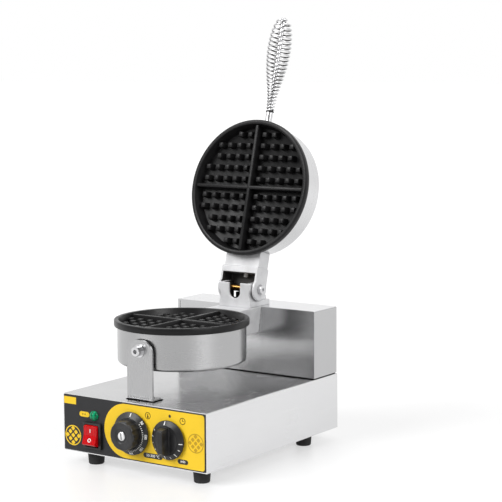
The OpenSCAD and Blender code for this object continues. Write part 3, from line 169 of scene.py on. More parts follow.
def lathe(profile, segments=128):
    # profile of (radius, height) points, spun about z into a closed skin
    bm = bmesh.new()
    line = [bm.verts.new((r, 0, z)) for r, z in profile]
    edges = [bm.edges.new((a, b)) for a, b in zip(line, line[1:])]
    bmesh.ops.spin(bm, geom=line + edges, cent=(0, 0, 0), axis=(0, 0, 1), angle=math.tau, steps=segments,
                   use_merge=True)
    bmesh.ops.remove_doubles(bm, verts=bm.verts, dist=1e-5)
    bmesh.ops.recalc_face_normals(bm, faces=bm.faces)
    return bm


def facing(x, y, z):
    # local x to the right, local y up, local z out of the panel
    turn = Matrix(((1, 0, 0), (0, 0, -1), (0, 1, 0))).to_4x4()
    return Matrix.Translation(at(x, y, z)) @ turn


millimetres = Matrix.Scale(0.001, 4)
print("helpers ready")


def addNode(tree, kind, **values):
    node = tree.nodes.new(kind)
    for key, value in values.items():
        setattr(node, key, value)
    return node


def newGroup(name, inputs, outputs):
    tree = bpy.data.node_groups.new(name, "ShaderNodeTree")
    for label, kind, start in inputs:
        socket = tree.interface.new_socket(label, in_out="INPUT", socket_type=kind)
        if start is not None:
            socket.default_value = start
    for label, kind in outputs:
        tree.interface.new_socket(label, in_out="OUTPUT", socket_type=kind)
    return tree, addNode(tree, "NodeGroupInput"), addNode(tree, "NodeGroupOutput")


def noiseInto(tree, vector, scale, detail, roughness):
    noise = addNode(tree, "ShaderNodeTexNoise")
    noise.inputs["Scale"].default_value = scale
    noise.inputs["Detail"].default_value = detail
    noise.inputs["Roughness"].default_value = roughness
    tree.links.new(vector, noise.inputs["Vector"])
    return noise.outputs["Fac"]


def rangeInto(tree, value, low, high, newLow, newHigh, smooth=False):
    spread = addNode(tree, "ShaderNodeMapRange")
    spread.interpolation_type = "SMOOTHSTEP" if smooth else "LINEAR"
    for label, number in (("From Min", low), ("From Max", high), ("To Min", newLow), ("To Max", newHigh)):
        spread.inputs[label].default_value = number
    tree.links.new(value, spread.inputs["Value"])
    return spread.outputs["Result"]


def mathInto(tree, operation, a, b):
    node = addNode(tree, "ShaderNodeMath", operation=operation)
    for index, item in enumerate((a, b)):
        if isinstance(item, (int, float)):
            node.inputs[index].default_value = item
        else:
            tree.links.new(item, node.inputs[index])
    return node.outputs[0]


def scaledInto(tree, start):
    # a group's incoming vector, times its incoming size
    scaled = addNode(tree, "ShaderNodeVectorMath", operation="SCALE")
    tree.links.new(start.outputs["Vector"], scaled.inputs[0])
    tree.links.new(start.outputs["Size"], scaled.inputs["Scale"])
    return scaled.outputs[0]


def buildBrushedGrain():
    # fine scratches and a few longer streaks; the vector comes in already stretched along the brushing
    tree, start, end = newGroup("brushedGrain",
                                [("Vector", "NodeSocketVector", None), ("Streaks", "NodeSocketFloat", 0.4)],
                                [("Tone", "NodeSocketFloat"), ("Height", "NodeSocketFloat")])
    fine = noiseInto(tree, start.outputs["Vector"], 1.0, 6, 0.65)
    broad = noiseInto(tree, start.outputs["Vector"], 0.3, 3, 0.5)
    total = mathInto(tree, "ADD", fine, mathInto(tree, "MULTIPLY", broad, start.outputs["Streaks"]))
    tree.links.new(rangeInto(tree, total, 0.4, 1.0, 0, 1), end.inputs["Tone"])
    tree.links.new(fine, end.inputs["Height"])
    return tree


def buildHandling():
    # soft patches where hands and cloths have passed
    tree, start, end = newGroup("handling", [("Vector", "NodeSocketVector", None), ("Size", "NodeSocketFloat", 14)],
                                [("Smudge", "NodeSocketFloat")])
    cloud = noiseInto(tree, scaledInto(tree, start), 1.0, 4, 0.55)
    tree.links.new(rangeInto(tree, cloud, 0.42, 0.68, 0, 1, smooth=True), end.inputs["Smudge"])
    return tree


def buildFineSkin():
    # moulded or cast skin: close bumps, and a few darker specks
    tree, start, end = newGroup("fineSkin", [("Vector", "NodeSocketVector", None), ("Size", "NodeSocketFloat", 900)],
                                [("Height", "NodeSocketFloat"), ("Specks", "NodeSocketFloat")])
    scaled = scaledInto(tree, start)
    bumps = noiseInto(tree, scaled, 1.0, 3, 0.6)
    cells = addNode(tree, "ShaderNodeTexVoronoi")
    cells.inputs["Scale"].default_value = 0.7
    tree.links.new(scaled, cells.inputs["Vector"])
    tree.links.new(bumps, end.inputs["Height"])
    tree.links.new(rangeInto(tree, cells.outputs["Distance"], 0.05, 0.2, 1, 0, smooth=True), end.inputs["Specks"])
    return tree


def buildBakedCoat():
    # non-stick coat: pebbled, with wiped oil that changes its gloss
    results = [(label, "NodeSocketFloat") for label in ("Height", "Oil", "Tint")]
    tree, start, end = newGroup("bakedCoat", [("Vector", "NodeSocketVector", None)], results)
    tree.links.new(noiseInto(tree, start.outputs["Vector"], 1400, 2, 0.6), end.inputs["Height"])
    film = noiseInto(tree, start.outputs["Vector"], 26, 5, 0.6)
    tree.links.new(rangeInto(tree, film, 0.38, 0.66, 0, 1, smooth=True), end.inputs["Oil"])
    tree.links.new(noiseInto(tree, start.outputs["Vector"], 160, 4, 0.7), end.inputs["Tint"])
    return tree


def buildInsideBox():
    # 1 inside a box about Middle, 0 outside it, with a soft edge; used for painted shade and a painted reflection in
    # the hinge's hollow
    inputs = [(label, "NodeSocketVector", None) for label in ("Vector", "Middle", "Half")]
    tree, start, end = newGroup("insideBox", inputs, [("Inside", "NodeSocketFloat")])
    away = addNode(tree, "ShaderNodeVectorMath", operation="SUBTRACT")
    tree.links.new(start.outputs["Vector"], away.inputs[0])
    tree.links.new(start.outputs["Middle"], away.inputs[1])
    size = addNode(tree, "ShaderNodeVectorMath", operation="ABSOLUTE")
    tree.links.new(away.outputs[0], size.inputs[0])
    over = addNode(tree, "ShaderNodeVectorMath", operation="SUBTRACT")
    tree.links.new(size.outputs[0], over.inputs[0])
    tree.links.new(start.outputs["Half"], over.inputs[1])
    parts = addNode(tree, "ShaderNodeSeparateXYZ")
    tree.links.new(over.outputs[0], parts.inputs[0])
    most = mathInto(tree, "MAXIMUM", mathInto(tree, "MAXIMUM", parts.outputs[0], parts.outputs[1]), parts.outputs[2])
    tree.links.new(rangeInto(tree, most, -0.0004, 0.0008, 1, 0, smooth=True), end.inputs["Inside"])
    return tree


groups = {
    "brushedGrain": buildBrushedGrain(),
    "handling": buildHandling(),
    "fineSkin": buildFineSkin(),
    "bakedCoat": buildBakedCoat(),
    "insideBox": buildInsideBox(),
}
print("effects ready:", ", ".join(groups))


def newFinish(name):
    finish = bpy.data.materials.new(name)
    finish.use_nodes = True
    tree = finish.node_tree
    shader = tree.nodes["Principled BSDF"]
    place = addNode(tree, "ShaderNodeTexCoord")
    return finish, tree, shader, place.outputs["Object"]


def useGroup(tree, label, vector, **values):
    node = addNode(tree, "ShaderNodeGroup")
    node.node_tree = groups[label]
    tree.links.new(vector, node.inputs["Vector"])
    for key, value in values.items():
        node.inputs[key].default_value = value
    return node


def mapped(tree, vector, scale, turn=(0, 0, 0)):
    # the turn comes first, then the stretch
    node = addNode(tree, "ShaderNodeMapping", vector_type="POINT")
    node.inputs["Rotation"].default_value = turn
    stretch = addNode(tree, "ShaderNodeVectorMath", operation="MULTIPLY")
    stretch.inputs[1].default_value = scale
    tree.links.new(vector, node.inputs["Vector"])
    tree.links.new(node.outputs["Vector"], stretch.inputs[0])
    return stretch.outputs[0]


def mixInto(tree, value, a, b):
    # a and b are colours, or a socket that brings one
    mix = addNode(tree, "ShaderNodeMix", data_type="RGBA")
    for label, item in (("A", a), ("B", b)):
        if isinstance(item, tuple):
            mix.inputs[label].default_value = (*item, 1)
        else:
            tree.links.new(item, mix.inputs[label])
    tree.links.new(value, mix.inputs["Factor"])
    return mix.outputs["Result"]


def bumpInto(tree, shader, height, strength, distance):
    bump = addNode(tree, "ShaderNodeBump")
    bump.inputs["Strength"].default_value = strength
    bump.inputs["Distance"].default_value = distance
    tree.links.new(height, bump.inputs["Height"])
    tree.links.new(bump.outputs["Normal"], shader.inputs["Normal"])


def grey(tone):
    return (tone, tone, tone * 1.01)


def brushedSteel(name, stretch, tone, rough=(0.16, 0.26), turn=(0, 0, 0), contrast=0.045, top=None):
    # top = (height in metres, tone): the flat top sheet gets its own tone, painted light or painted shade that makes
    # it lighter or darker than the sides
    finish, tree, shader, vector = newFinish(name)
    grain = useGroup(tree, "brushedGrain", mapped(tree, vector, stretch, turn))
    hands = useGroup(tree, "handling", vector, Size=17)
    shader.inputs["Metallic"].default_value = 1
    colour = mixInto(tree, grain.outputs["Tone"], grey(tone * (1 - contrast)), grey(tone * (1 + contrast)))
    if top:
        parts = addNode(tree, "ShaderNodeSeparateXYZ")
        tree.links.new(vector, parts.inputs[0])
        # painted light and shade: the top sheet's own tone
        paintedTopTone = rangeInto(tree, parts.outputs[2], top[0] - 0.0012, top[0] - 0.0002, 0, 1, smooth=True)
        colour = mixInto(tree, paintedTopTone, colour, mixInto(tree, grain.outputs["Tone"], grey(top[1] * 0.95), grey(top[1])))
    tree.links.new(colour, shader.inputs["Base Color"])
    scratch = rangeInto(tree, grain.outputs["Tone"], 0, 1, rough[0], rough[1])
    wiped = rangeInto(tree, hands.outputs["Smudge"], 0, 1, 0, 0.05)
    tree.links.new(mathInto(tree, "ADD", scratch, wiped), shader.inputs["Roughness"])
    bumpInto(tree, shader, grain.outputs["Height"], 0.12, 0.00002)
    return finish


def plainMetal(name, colour, rough, grain=600):
    finish, tree, shader, vector = newFinish(name)
    skin = useGroup(tree, "fineSkin", vector, Size=grain)
    hands = useGroup(tree, "handling", vector, Size=60)
    shader.inputs["Metallic"].default_value = 1
    darker = tuple(c * 0.82 for c in colour)
    tree.links.new(mixInto(tree, hands.outputs["Smudge"], colour, darker), shader.inputs["Base Color"])
    tree.links.new(rangeInto(tree, hands.outputs["Smudge"], 0, 1, rough, rough + 0.12), shader.inputs["Roughness"])
    bumpInto(tree, shader, skin.outputs["Height"], 0.15, 0.00001)
    return finish


def pinMetal(name, bright, paintedHollowColour):
    # bright outside; in the hinge's hollow a painted colour: a painted warm reflection on the pin, painted shade on
    # the screws
    finish, tree, shader, vector = newFinish(name)
    hollow = useGroup(tree, "insideBox", vector, Middle=baseHollow, Half=baseHalf)
    haze = noiseInto(tree, vector, 500, 4, 0.6)
    shader.inputs["Metallic"].default_value = 1
    # the painted colour in the hollow, a little uneven
    hollowPainted = mixInto(tree, haze, paintedHollowColour, tuple(c * 0.6 for c in paintedHollowColour))
    tree.links.new(mixInto(tree, hollow.outputs["Inside"], bright, hollowPainted), shader.inputs["Base Color"])
    tree.links.new(rangeInto(tree, haze, 0.3, 0.7, 0.22, 0.42), shader.inputs["Roughness"])
    bumpInto(tree, shader, haze, 0.15, 0.00002)
    return finish


def chromeWire(name):
    # bright outside the coil, with painted shade on the side of the wire that faces its middle
    finish, tree, shader, vector = newFinish(name)
    side = addNode(tree, "ShaderNodeAttribute", attribute_name="innerSide")
    haze = noiseInto(tree, vector, 420, 4, 0.6)
    shader.inputs["Metallic"].default_value = 1
    inner = rangeInto(tree, side.outputs["Fac"], -0.35, 0.55, 0, 1, smooth=True)
    outside = mixInto(tree, haze, (0.56, 0.56, 0.57), (0.7, 0.7, 0.71))
    # painted shade: near black on the side facing the coil's axis
    tree.links.new(mixInto(tree, inner, outside, (0.1, 0.098, 0.096)), shader.inputs["Base Color"])
    tree.links.new(rangeInto(tree, haze, 0.3, 0.7, 0.08, 0.2), shader.inputs["Roughness"])
    bumpInto(tree, shader, haze, 0.1, 0.00001)
    return finish


def moulded(name, colour, rough, grain=1500, depth=0.00003, dust=0.02, specular=0.4):
    finish, tree, shader, vector = newFinish(name)
    skin = useGroup(tree, "fineSkin", vector, Size=grain)
    hands = useGroup(tree, "handling", vector, Size=45)
    lighter = tuple(min(1, c + dust) for c in colour)
    tree.links.new(mixInto(tree, hands.outputs["Smudge"], colour, lighter), shader.inputs["Base Color"])
    wiped = rangeInto(tree, hands.outputs["Smudge"], 0, 1, rough, min(1, rough + 0.1))
    tree.links.new(wiped, shader.inputs["Roughness"])
    shader.inputs["Specular IOR Level"].default_value = specular
    bumpInto(tree, shader, skin.outputs["Height"], 0.2, depth)
    return finish


def printedFilm(name, colour, rough=0.42, specular=0.3):
    finish, tree, shader, vector = newFinish(name)
    skin = useGroup(tree, "fineSkin", vector, Size=2600)
    hands = useGroup(tree, "handling", vector, Size=24)
    darker = tuple(c * 0.95 for c in colour)
    tree.links.new(mixInto(tree, hands.outputs["Smudge"], colour, darker), shader.inputs["Base Color"])
    tree.links.new(rangeInto(tree, hands.outputs["Smudge"], 0, 1, rough, rough + 0.08), shader.inputs["Roughness"])
    shader.inputs["Specular IOR Level"].default_value = specular
    bumpInto(tree, shader, skin.outputs["Height"], 0.12, 0.00002)
    return finish


def paleCasting(name, middle, half, pivot=None, turn=0.0):
    # bead-blasted aluminium, with painted shade, near black, in the hinge's hollow
    # with a pivot, middle and half are measured about it, before the lid was opened by the turn
    finish, tree, shader, vector = newFinish(name)
    place = vector
    if pivot:
        back = addNode(tree, "ShaderNodeMapping", vector_type="POINT")
        back.inputs["Rotation"].default_value = (turn, 0, 0)
        back.inputs["Location"].default_value = -(Matrix.Rotation(turn, 3, "X") @ pivot)
        tree.links.new(vector, back.inputs["Vector"])
        place = back.outputs["Vector"]
    skin = useGroup(tree, "fineSkin", vector, Size=620)
    hands = useGroup(tree, "handling", vector, Size=34)
    hollow = useGroup(tree, "insideBox", place, Middle=middle, Half=half)
    shader.inputs["Metallic"].default_value = 0.25
    base = mixInto(tree, hands.outputs["Smudge"], (0.68, 0.68, 0.69), (0.58, 0.58, 0.59))
    specks = rangeInto(tree, skin.outputs["Specks"], 0, 1, 0, 0.3)
    base = mixInto(tree, specks, base, (0.46, 0.46, 0.47))
    # painted shade: near black inside the hollow's box
    tree.links.new(mixInto(tree, hollow.outputs["Inside"], base, (0.035, 0.032, 0.03)), shader.inputs["Base Color"])
    tree.links.new(rangeInto(tree, skin.outputs["Height"], 0.3, 0.7, 0.38, 0.55), shader.inputs["Roughness"])
    bumpInto(tree, shader, skin.outputs["Height"], 0.45, 0.00007)
    return finish


def bakedPlate(name):
    finish, tree, shader, vector = newFinish(name)
    coat = useGroup(tree, "bakedCoat", vector)
    tree.links.new(mixInto(tree, coat.outputs["Tint"], (0.006, 0.006, 0.007), (0.014, 0.0135, 0.0135)),
                   shader.inputs["Base Color"])
    tree.links.new(rangeInto(tree, coat.outputs["Oil"], 0, 1, 0.4, 0.27), shader.inputs["Roughness"])
    shader.inputs["Specular IOR Level"].default_value = 0.2
    bumpInto(tree, shader, coat.outputs["Height"], 0.3, 0.00005)
    return finish


def fibrePad(name):
    finish, tree, shader, vector = newFinish(name)
    wool = noiseInto(tree, mapped(tree, vector, (240, 240, 1100)), 1.0, 6, 0.7)
    tree.links.new(mixInto(tree, wool, (0.5, 0.46, 0.36), (0.86, 0.84, 0.76)), shader.inputs["Base Color"])
    shader.inputs["Roughness"].default_value = 0.95
    bumpInto(tree, shader, wool, 0.6, 0.0006)
    return finish


def heatedTube(name):
    finish, tree, shader, vector = newFinish(name)
    heat = noiseInto(tree, vector, 55, 5, 0.6)
    shader.inputs["Metallic"].default_value = 0.9
    tree.links.new(mixInto(tree, heat, (0.16, 0.13, 0.11), (0.42, 0.37, 0.32)), shader.inputs["Base Color"])
    tree.links.new(rangeInto(tree, heat, 0.3, 0.7, 0.35, 0.6), shader.inputs["Roughness"])
    bumpInto(tree, shader, heat, 0.2, 0.0001)
    return finish


def braidedSleeve(name, pale, dark):
    # woven glass sleeving: two sets of slanting strands, with painted shade, near black, below the hinge pin
    finish, tree, shader, vector = newFinish(name)
    strands = []
    for slant in (0.7, -0.7):
        wave = addNode(tree, "ShaderNodeTexWave", bands_direction="Z")
        wave.inputs["Scale"].default_value = 160
        wave.inputs["Distortion"].default_value = 0.6
        tree.links.new(mapped(tree, vector, (1, 1, 1), (slant, slant, 0)), wave.inputs["Vector"])
        strands.append(wave.outputs["Fac"])
    weave = mathInto(tree, "MAXIMUM", *strands)
    low = useGroup(tree, "insideBox", vector, Middle=sleeveShade["middle"], Half=sleeveShade["half"])
    strand = mixInto(tree, weave, dark, pale)
    # painted shade below the hinge pin
    tree.links.new(mixInto(tree, low.outputs["Inside"], strand, (0.03, 0.028, 0.025)), shader.inputs["Base Color"])
    shader.inputs["Roughness"].default_value = 0.7
    bumpInto(tree, shader, weave, 0.4, 0.0002)
    return finish


def litPlastic(name, dark, light, ribs, facets=0.0):
    # translucent moulding: lighter bands for fine inner ribs and, with facets, lighter spots are painted highlights in
    # the colour
    finish, tree, shader, vector = newFinish(name)
    wave = addNode(tree, "ShaderNodeTexWave", bands_direction="X")
    wave.inputs["Scale"].default_value = ribs
    wave.inputs["Distortion"].default_value = 0.4
    tree.links.new(vector, wave.inputs["Vector"])
    cells = addNode(tree, "ShaderNodeTexVoronoi")
    cells.inputs["Scale"].default_value = 330
    tree.links.new(vector, cells.inputs["Vector"])
    glint = rangeInto(tree, cells.outputs["Distance"], 0.1, 0.6, 1, 0, smooth=True)
    shine = mathInto(tree, "MULTIPLY", glint, facets)
    # painted highlights: ribs and glints lighten the colour
    tree.links.new(mixInto(tree, mathInto(tree, "MAXIMUM", wave.outputs["Fac"], shine), dark, light),
                   shader.inputs["Base Color"])
    hands = useGroup(tree, "handling", vector, Size=80)
    tree.links.new(rangeInto(tree, hands.outputs["Smudge"], 0, 1, 0.14, 0.22), shader.inputs["Roughness"])
    shader.inputs["Specular IOR Level"].default_value = 0.2
    shader.inputs["Coat Weight"].default_value = 0.1
    shader.inputs["Coat Roughness"].default_value = 0.05
    bumpInto(tree, shader, mathInto(tree, "MULTIPLY", glint, facets), 0.5, 0.0003)
    return finish


lidTurn = next(j for j in frame["joints"] if j["name"] == "lid_hinge")
lidOpen = math.radians(105)
hinge = {"y": (lidTurn["pos_m"][1] - frontY) * 1000, "z": lidTurn["pos_m"][2] * 1000,
         "hollow": (0, 1.5, -2.6), "hollowHalf": (20.6, 18.6, 15.5),
         "lidHollow": (0, 0.9, -6.4), "lidHalf": (28.9, 22.9, 17.6)}
pinMiddle = at(0, hinge["y"], hinge["z"])
baseHollow = pinMiddle + Vector(hinge["hollow"]) / 1000
baseHalf, lidHollow, lidHalf = (Vector(hinge[key]) / 1000 for key in ("hollowHalf", "lidHollow", "lidHalf"))
sleeveShade = {"middle": pinMiddle + Vector((0, 0, -0.009)), "half": (0.02, 0.02, 0.008)}
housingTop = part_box("rear_housing")[1].z

finishes = {
    # the body's top is painted darker than its sides, the housing's top painted lighter
    "bodySteel": brushedSteel("bodySteel", (2600, 40, 2600), tone=0.72, top=(bodyTop / 1000, 0.58)),
    "housingSteel": brushedSteel("housingSteel", (40, 2600, 2600), tone=0.49, top=(housingTop, 0.8)),
    "bracketSteel": brushedSteel("bracketSteel", (2600, 2600, 40), tone=0.41, rough=(0.2, 0.3)),
    "drumSteel": brushedSteel("drumSteel", (30, 30, 2800), tone=0.42, rough=(0.2, 0.28), contrast=0.025),
    "lidSteel": brushedSteel("lidSteel", (30, 30, 2800), tone=0.69, rough=(0.22, 0.3), turn=(lidOpen, 0, 0),
                             contrast=0.025),
    "zinc": plainMetal("zinc", (0.62, 0.62, 0.63), 0.18),
    # inside the hinge's hollow: a painted warm reflection on the pin, painted shade on the screws
    "pinMetal": pinMetal("pinMetal", (0.62, 0.62, 0.63), (0.62, 0.34, 0.1)),
    "screwMetal": pinMetal("screwMetal", (0.62, 0.62, 0.63), (0.1, 0.095, 0.09)),
    "chrome": plainMetal("chrome", (0.7, 0.7, 0.71), 0.09, grain=300),
    "chromeWire": chromeWire("chromeWire"),
    "capSilver": plainMetal("capSilver", (0.84, 0.84, 0.84), 0.3),
    "rubber": moulded("rubber", (0.01, 0.01, 0.01), 0.6, grain=1800, depth=0.00006, specular=0.3),
    "blackPlastic": moulded("blackPlastic", (0.012, 0.012, 0.013), 0.32, grain=2200),
    # black in the seam under the housing: painted shade for the shadow gap there
    "seamShadeBlack": moulded("seamShadeBlack", (0.01, 0.01, 0.01), 0.7, specular=0.1),
    # matte black without gloss: painted shadow around the bracket's foot
    "shadowBlack": moulded("shadowBlack", (0.006, 0.006, 0.006), 0.9, dust=0.004, specular=0.0),
    "filmBlack": printedFilm("filmBlack", (0.024, 0.024, 0.026)),
    "filmYellow": printedFilm("filmYellow", (1.0, 0.66, 0.03)),
    "filmAmber": printedFilm("filmAmber", (0.6, 0.36, 0.02)),
    "markWhite": printedFilm("markWhite", (0.9, 0.9, 0.88)),
    "inkBrown": printedFilm("inkBrown", (0.09, 0.05, 0.004)),
    "plate": bakedPlate("plate"),
    "casting": paleCasting("casting", baseHollow, baseHalf),
    "lidCasting": paleCasting("lidCasting", lidHollow, lidHalf, pinMiddle, lidOpen),
    "rockerRed": litPlastic("rockerRed", (0.42, 0.0, 0.002), (0.72, 0.0, 0.004), 110),
    "lampGreen": litPlastic("lampGreen", (0.0, 0.1, 0.04), (0.0, 0.36, 0.15), 60, facets=0.8),
    "lampBody": moulded("lampBody", (0.6, 0.6, 0.57), 0.5),
    "ceramic": moulded("ceramic", (0.75, 0.72, 0.64), 0.6),
    "sleeve": braidedSleeve("sleeve", (0.88, 0.87, 0.84), (0.62, 0.61, 0.58)),
    "wool": fibrePad("wool"),
    "element": heatedTube("element"),
}

nodeFinishes = {
    "bodySteel": ["base_shell", "bottom_plate"],
    "housingSteel": ["rear_housing", "housing_cover"],
    "bracketSteel": ["front_bracket"],
    "drumSteel": ["lower_shell", "lower_clamp"],
    "lidSteel": ["upper_shell", "upper_clamp"],
    "zinc": ["bottom_screws", "foot_screws", "cover_screws", "thermostat_nut", "timer_nut", "temp_shaft",
             "timer_shaft",
             "bracket_spacer", "bracket_bolt", "bracket_screws", "lower_bolt", "pedestal_bolts",
             "hinge_nut", "arm_screws", "upper_bolt", "handle_nut"],
    "pinMetal": ["hinge_pin"],
    "screwMetal": ["hinge_screws"],
    "chrome": ["handle_rod", "handle_spring"],
    "capSilver": ["temp_cap"],
    "rubber": ["foot_front_left", "foot_front_right", "foot_rear_left", "foot_rear_right"],
    "blackPlastic": ["temp_knob", "timer_knob", "switch_housing", "handle_collar", "cord_gland", "gland_nut"],
    "seamShadeBlack": ["housing_seam"],
    "filmBlack": ["panel_sheet"],
    "filmYellow": ["dial_field"],
    "plate": ["lower_plate", "upper_plate"],
    "casting": ["pedestal", "hinge_casting"],
    "lidCasting": ["lid_arm"],
    "rockerRed": ["switch_rocker"],
    "lampGreen": ["lamp_lens"],
    "lampBody": ["lamp_body", "thermostat_body", "timer_body"],
    "ceramic": ["terminal_block"],
    "sleeve": ["lid_lead"],
    "wool": ["lower_insulation", "upper_insulation"],
    "element": ["lower_heater", "upper_heater"],
}
for finishName, members in nodeFinishes.items():
    for member in members:
        slots = frame["nodes"][member].data.materials
        slots.clear()
        slots.append(finishes[finishName])
print("finishes on", sum(len(m) for m in nodeFinishes.values()), "nodes")

plateShape = {"rimThick": 9.6, "rimFace": 6.5, "depth": 17, "draft": 3.5, "floor": 8, "pitch": 17, "first": 13,
              "pegBase": 9.6, "pegTop": 7.2, "pegHeight": 11.6, "ribBase": 7.6, "ribTop": 5, "ribHeight": 15,
              "round": 1.1, "lowerRim": 96, "upperRim": 102.5, "lowerCore": 89.9, "upperCore": 96.2}


def taperedBlock(base, top, height, rounding, length=None):
    # a peg, or a rib when it has a length: rounded at the top and up its sides, its foot on z = 0
    bm = bmesh.new()
    bmesh.ops.create_cube(bm, size=1)
    for v in bm.verts:
        side = base if v.co.z < 0 else top
        along = side if length is None else length
        v.co = Vector((v.co.x * along, v.co.y * side, (v.co.z + 0.5) * height))
    upper = [e for e in bm.edges if max(v.co.z for v in e.verts) > height * 0.5]
    bmesh.ops.bevel(bm, geom=upper, offset=rounding, offset_type="OFFSET", affect="EDGES", segments=3, profile=0.5,
                    material=-1)
    return bm


def wafflePlate(rim, core):
    # rim face at z = 0 with the mould open upwards, in millimetres
    s = plateShape
    mould = rim - s["rimFace"]
    floorR = mould - s["draft"]
    bottom = -s["depth"] - s["floor"]
    profile = [(0, bottom), (core - 1.5, bottom), (core, bottom + 1.5), (core, -s["rimThick"])]
    profile += [(rim - 1.6, -s["rimThick"]), (rim - 0.5, -s["rimThick"] + 0.5), (rim, -s["rimThick"] + 1.6)]
    profile += [(rim, -1.6), (rim - 0.5, -0.5), (rim - 1.6, 0)]
    profile += [(mould + 1.2, 0), (mould + 0.3, -0.35), (mould - 0.2, -1.3)]
    profile += [(floorR + 0.5, -s["depth"] + 1.6), (floorR - 0.4, -s["depth"] + 0.4), (floorR - 1.8, -s["depth"]),
                (0, -s["depth"])]
    bm = lathe(profile, 144)
    reach = floorR - 1.6
    places = []
    row = 0
    while s["first"] + row * s["pitch"] < reach:
        y = s["first"] + row * s["pitch"]
        count = int((math.sqrt(reach * reach - y * y) - s["first"]) // s["pitch"]) + 1
        places += [(s["first"] + k * s["pitch"], y) for k in range(count) if count > 0]
        row += 1
    for x, y in places:
        for sx in (-1, 1):
            for sy in (-1, 1):
                addPart(bm, taperedBlock(s["pegBase"], s["pegTop"], s["pegHeight"], s["round"]),
                        Matrix.Translation((sx * x, sy * y, -s["depth"])))
    for turn in (0, math.pi / 2):
        addPart(bm, taperedBlock(s["ribBase"], s["ribTop"], s["ribHeight"], s["round"], 2 * mould - 2),
                Matrix.Rotation(turn, 4, "Z") @ Matrix.Translation((0, 0, -s["depth"])))
    return bm


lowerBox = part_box("lower_plate")
lowerMiddle = Vector(((lowerBox[0].x + lowerBox[1].x) / 2, (lowerBox[0].y + lowerBox[1].y) / 2, lowerBox[1].z))
drumY = (lowerMiddle.y - frontY) * 1000
shutGap = 0.8
shutZ = lowerMiddle.z * 1000 + shutGap


def opened(x, y, z):
    # a bench point of the shut lid, after the lid is opened
    turned = Matrix.Rotation(-lidOpen, 4, "X") @ Vector((x, y - hinge["y"], z - hinge["z"]))
    return at(turned.x, turned.y + hinge["y"], turned.z + hinge["z"])


bm = bmesh.new()
addPart(bm, wafflePlate(plateShape["lowerRim"], plateShape["lowerCore"]),
        Matrix.Translation(lowerMiddle) @ millimetres)
makePiece("lowerWafflePlate", bm, finishes["plate"], "base", ["lower_plate"])
bm = bmesh.new()
lidFlip = Matrix.Rotation(-lidOpen, 4, "X") @ Matrix.Rotation(math.pi, 4, "X")
addPart(bm, wafflePlate(plateShape["upperRim"], plateShape["upperCore"]),
        Matrix.Translation(opened(0, drumY, shutZ)) @ lidFlip @ millimetres)
makePiece("upperWafflePlate", bm, finishes["plate"], "lid", ["upper_plate"])
print("waffle plates made")

# solids that keep their shape but lose their sharp edges, as castings and mouldings do
easedPieces = {
    "pedestal": {"name": "pedestalCasting", "body": "base", "voxel": 0.0009, "passes": 3, "finish": "casting",
                 "slot": "cast_aluminium"},
    "hinge_casting": {"name": "hingeCasting", "body": "base", "voxel": 0.0006, "passes": 3, "finish": "casting",
                      "slot": "cast_aluminium"},
    "lid_arm": {"name": "lidArmCasting", "body": "lid", "voxel": 0.0008, "passes": 3, "finish": "lidCasting",
                "slot": "cast_aluminium"},
    "temp_knob": {"name": "temperatureKnob", "body": "temp_dial", "voxel": 0.0004, "passes": 2,
                  "finish": "blackPlastic", "slot": "black_plastic"},
    "timer_knob": {"name": "timerKnob", "body": "timer_dial", "voxel": 0.0004, "passes": 2,
                   "finish": "blackPlastic", "slot": "black_plastic"},
}


def eased(node, values):
    # a voxel remesh and a little smoothing round every edge by about a voxel
    mesh = frame["nodes"][node].data.copy()
    bm = bmesh.new()
    bm.from_mesh(mesh)
    bmesh.ops.remove_doubles(bm, verts=bm.verts, dist=1e-6)
    bm.to_mesh(mesh)
    bm.free()
    source = bpy.data.objects.new("source", mesh)
    bpy.context.scene.collection.objects.link(source)
    remesh = source.modifiers.new("remesh", "REMESH")
    remesh.mode = "VOXEL"
    remesh.voxel_size = values["voxel"]
    smooth = source.modifiers.new("smooth", "SMOOTH")
    smooth.factor = 0.5
    smooth.iterations = values["passes"]
    bpy.context.view_layer.update()
    shaped = source.evaluated_get(bpy.context.evaluated_depsgraph_get())
    result = bpy.data.meshes.new_from_object(shaped)
    bpy.data.objects.remove(source)
    bpy.data.meshes.remove(mesh)
    result.name = values["name"]
    print(values["name"], len(result.polygons), "faces")
    return placeMesh(values["name"], result, finishes[values["finish"]], values["body"], [node], 180)


for node, values in easedPieces.items():
    eased(node, values)
print("castings and knobs eased")

# the grip's wire follows the same swelling helix as its solid
coil = {"wire": 2.4, "length": 142, "turns": 23, "start": 5.6, "widest": 17.4, "tip": 6.2, "peak": 0.72, "even": 0.8,
        "seat": 0.2, "stub": 22, "collar": 3, "up": 30, "slope": 0.5, "shellR": 97.8, "steps": 28}


def coilRadius(u):
    c = coil
    if u < c["peak"]:
        return c["start"] + (c["widest"] - c["start"]) * (1 - math.cos(math.pi * u / c["peak"])) / 2
    return c["tip"] + (c["widest"] - c["tip"]) * math.sqrt(max(0, 1 - ((u - c["peak"]) / (1 - c["peak"])) ** 2))


def coilPoint(u, radius):
    # a point at this radius from the coil's axis, in the open lid
    c = coil
    spacing = c["even"] * u + (1 - c["even"]) * u * u
    along = c["stub"] + c["collar"] + c["wire"] / 2 + c["seat"]
    along += (c["length"] - c["wire"] - c["seat"]) * spacing
    angle = math.tau * c["turns"] * u
    x, up = radius * math.cos(angle), radius * math.sin(angle)
    slope = math.radians(c["slope"])
    y = drumY - c["shellR"] - along * math.cos(slope) + up * math.sin(slope)
    z = shutZ + c["up"] + along * math.sin(slope) + up * math.cos(slope)
    return opened(x, y, z)


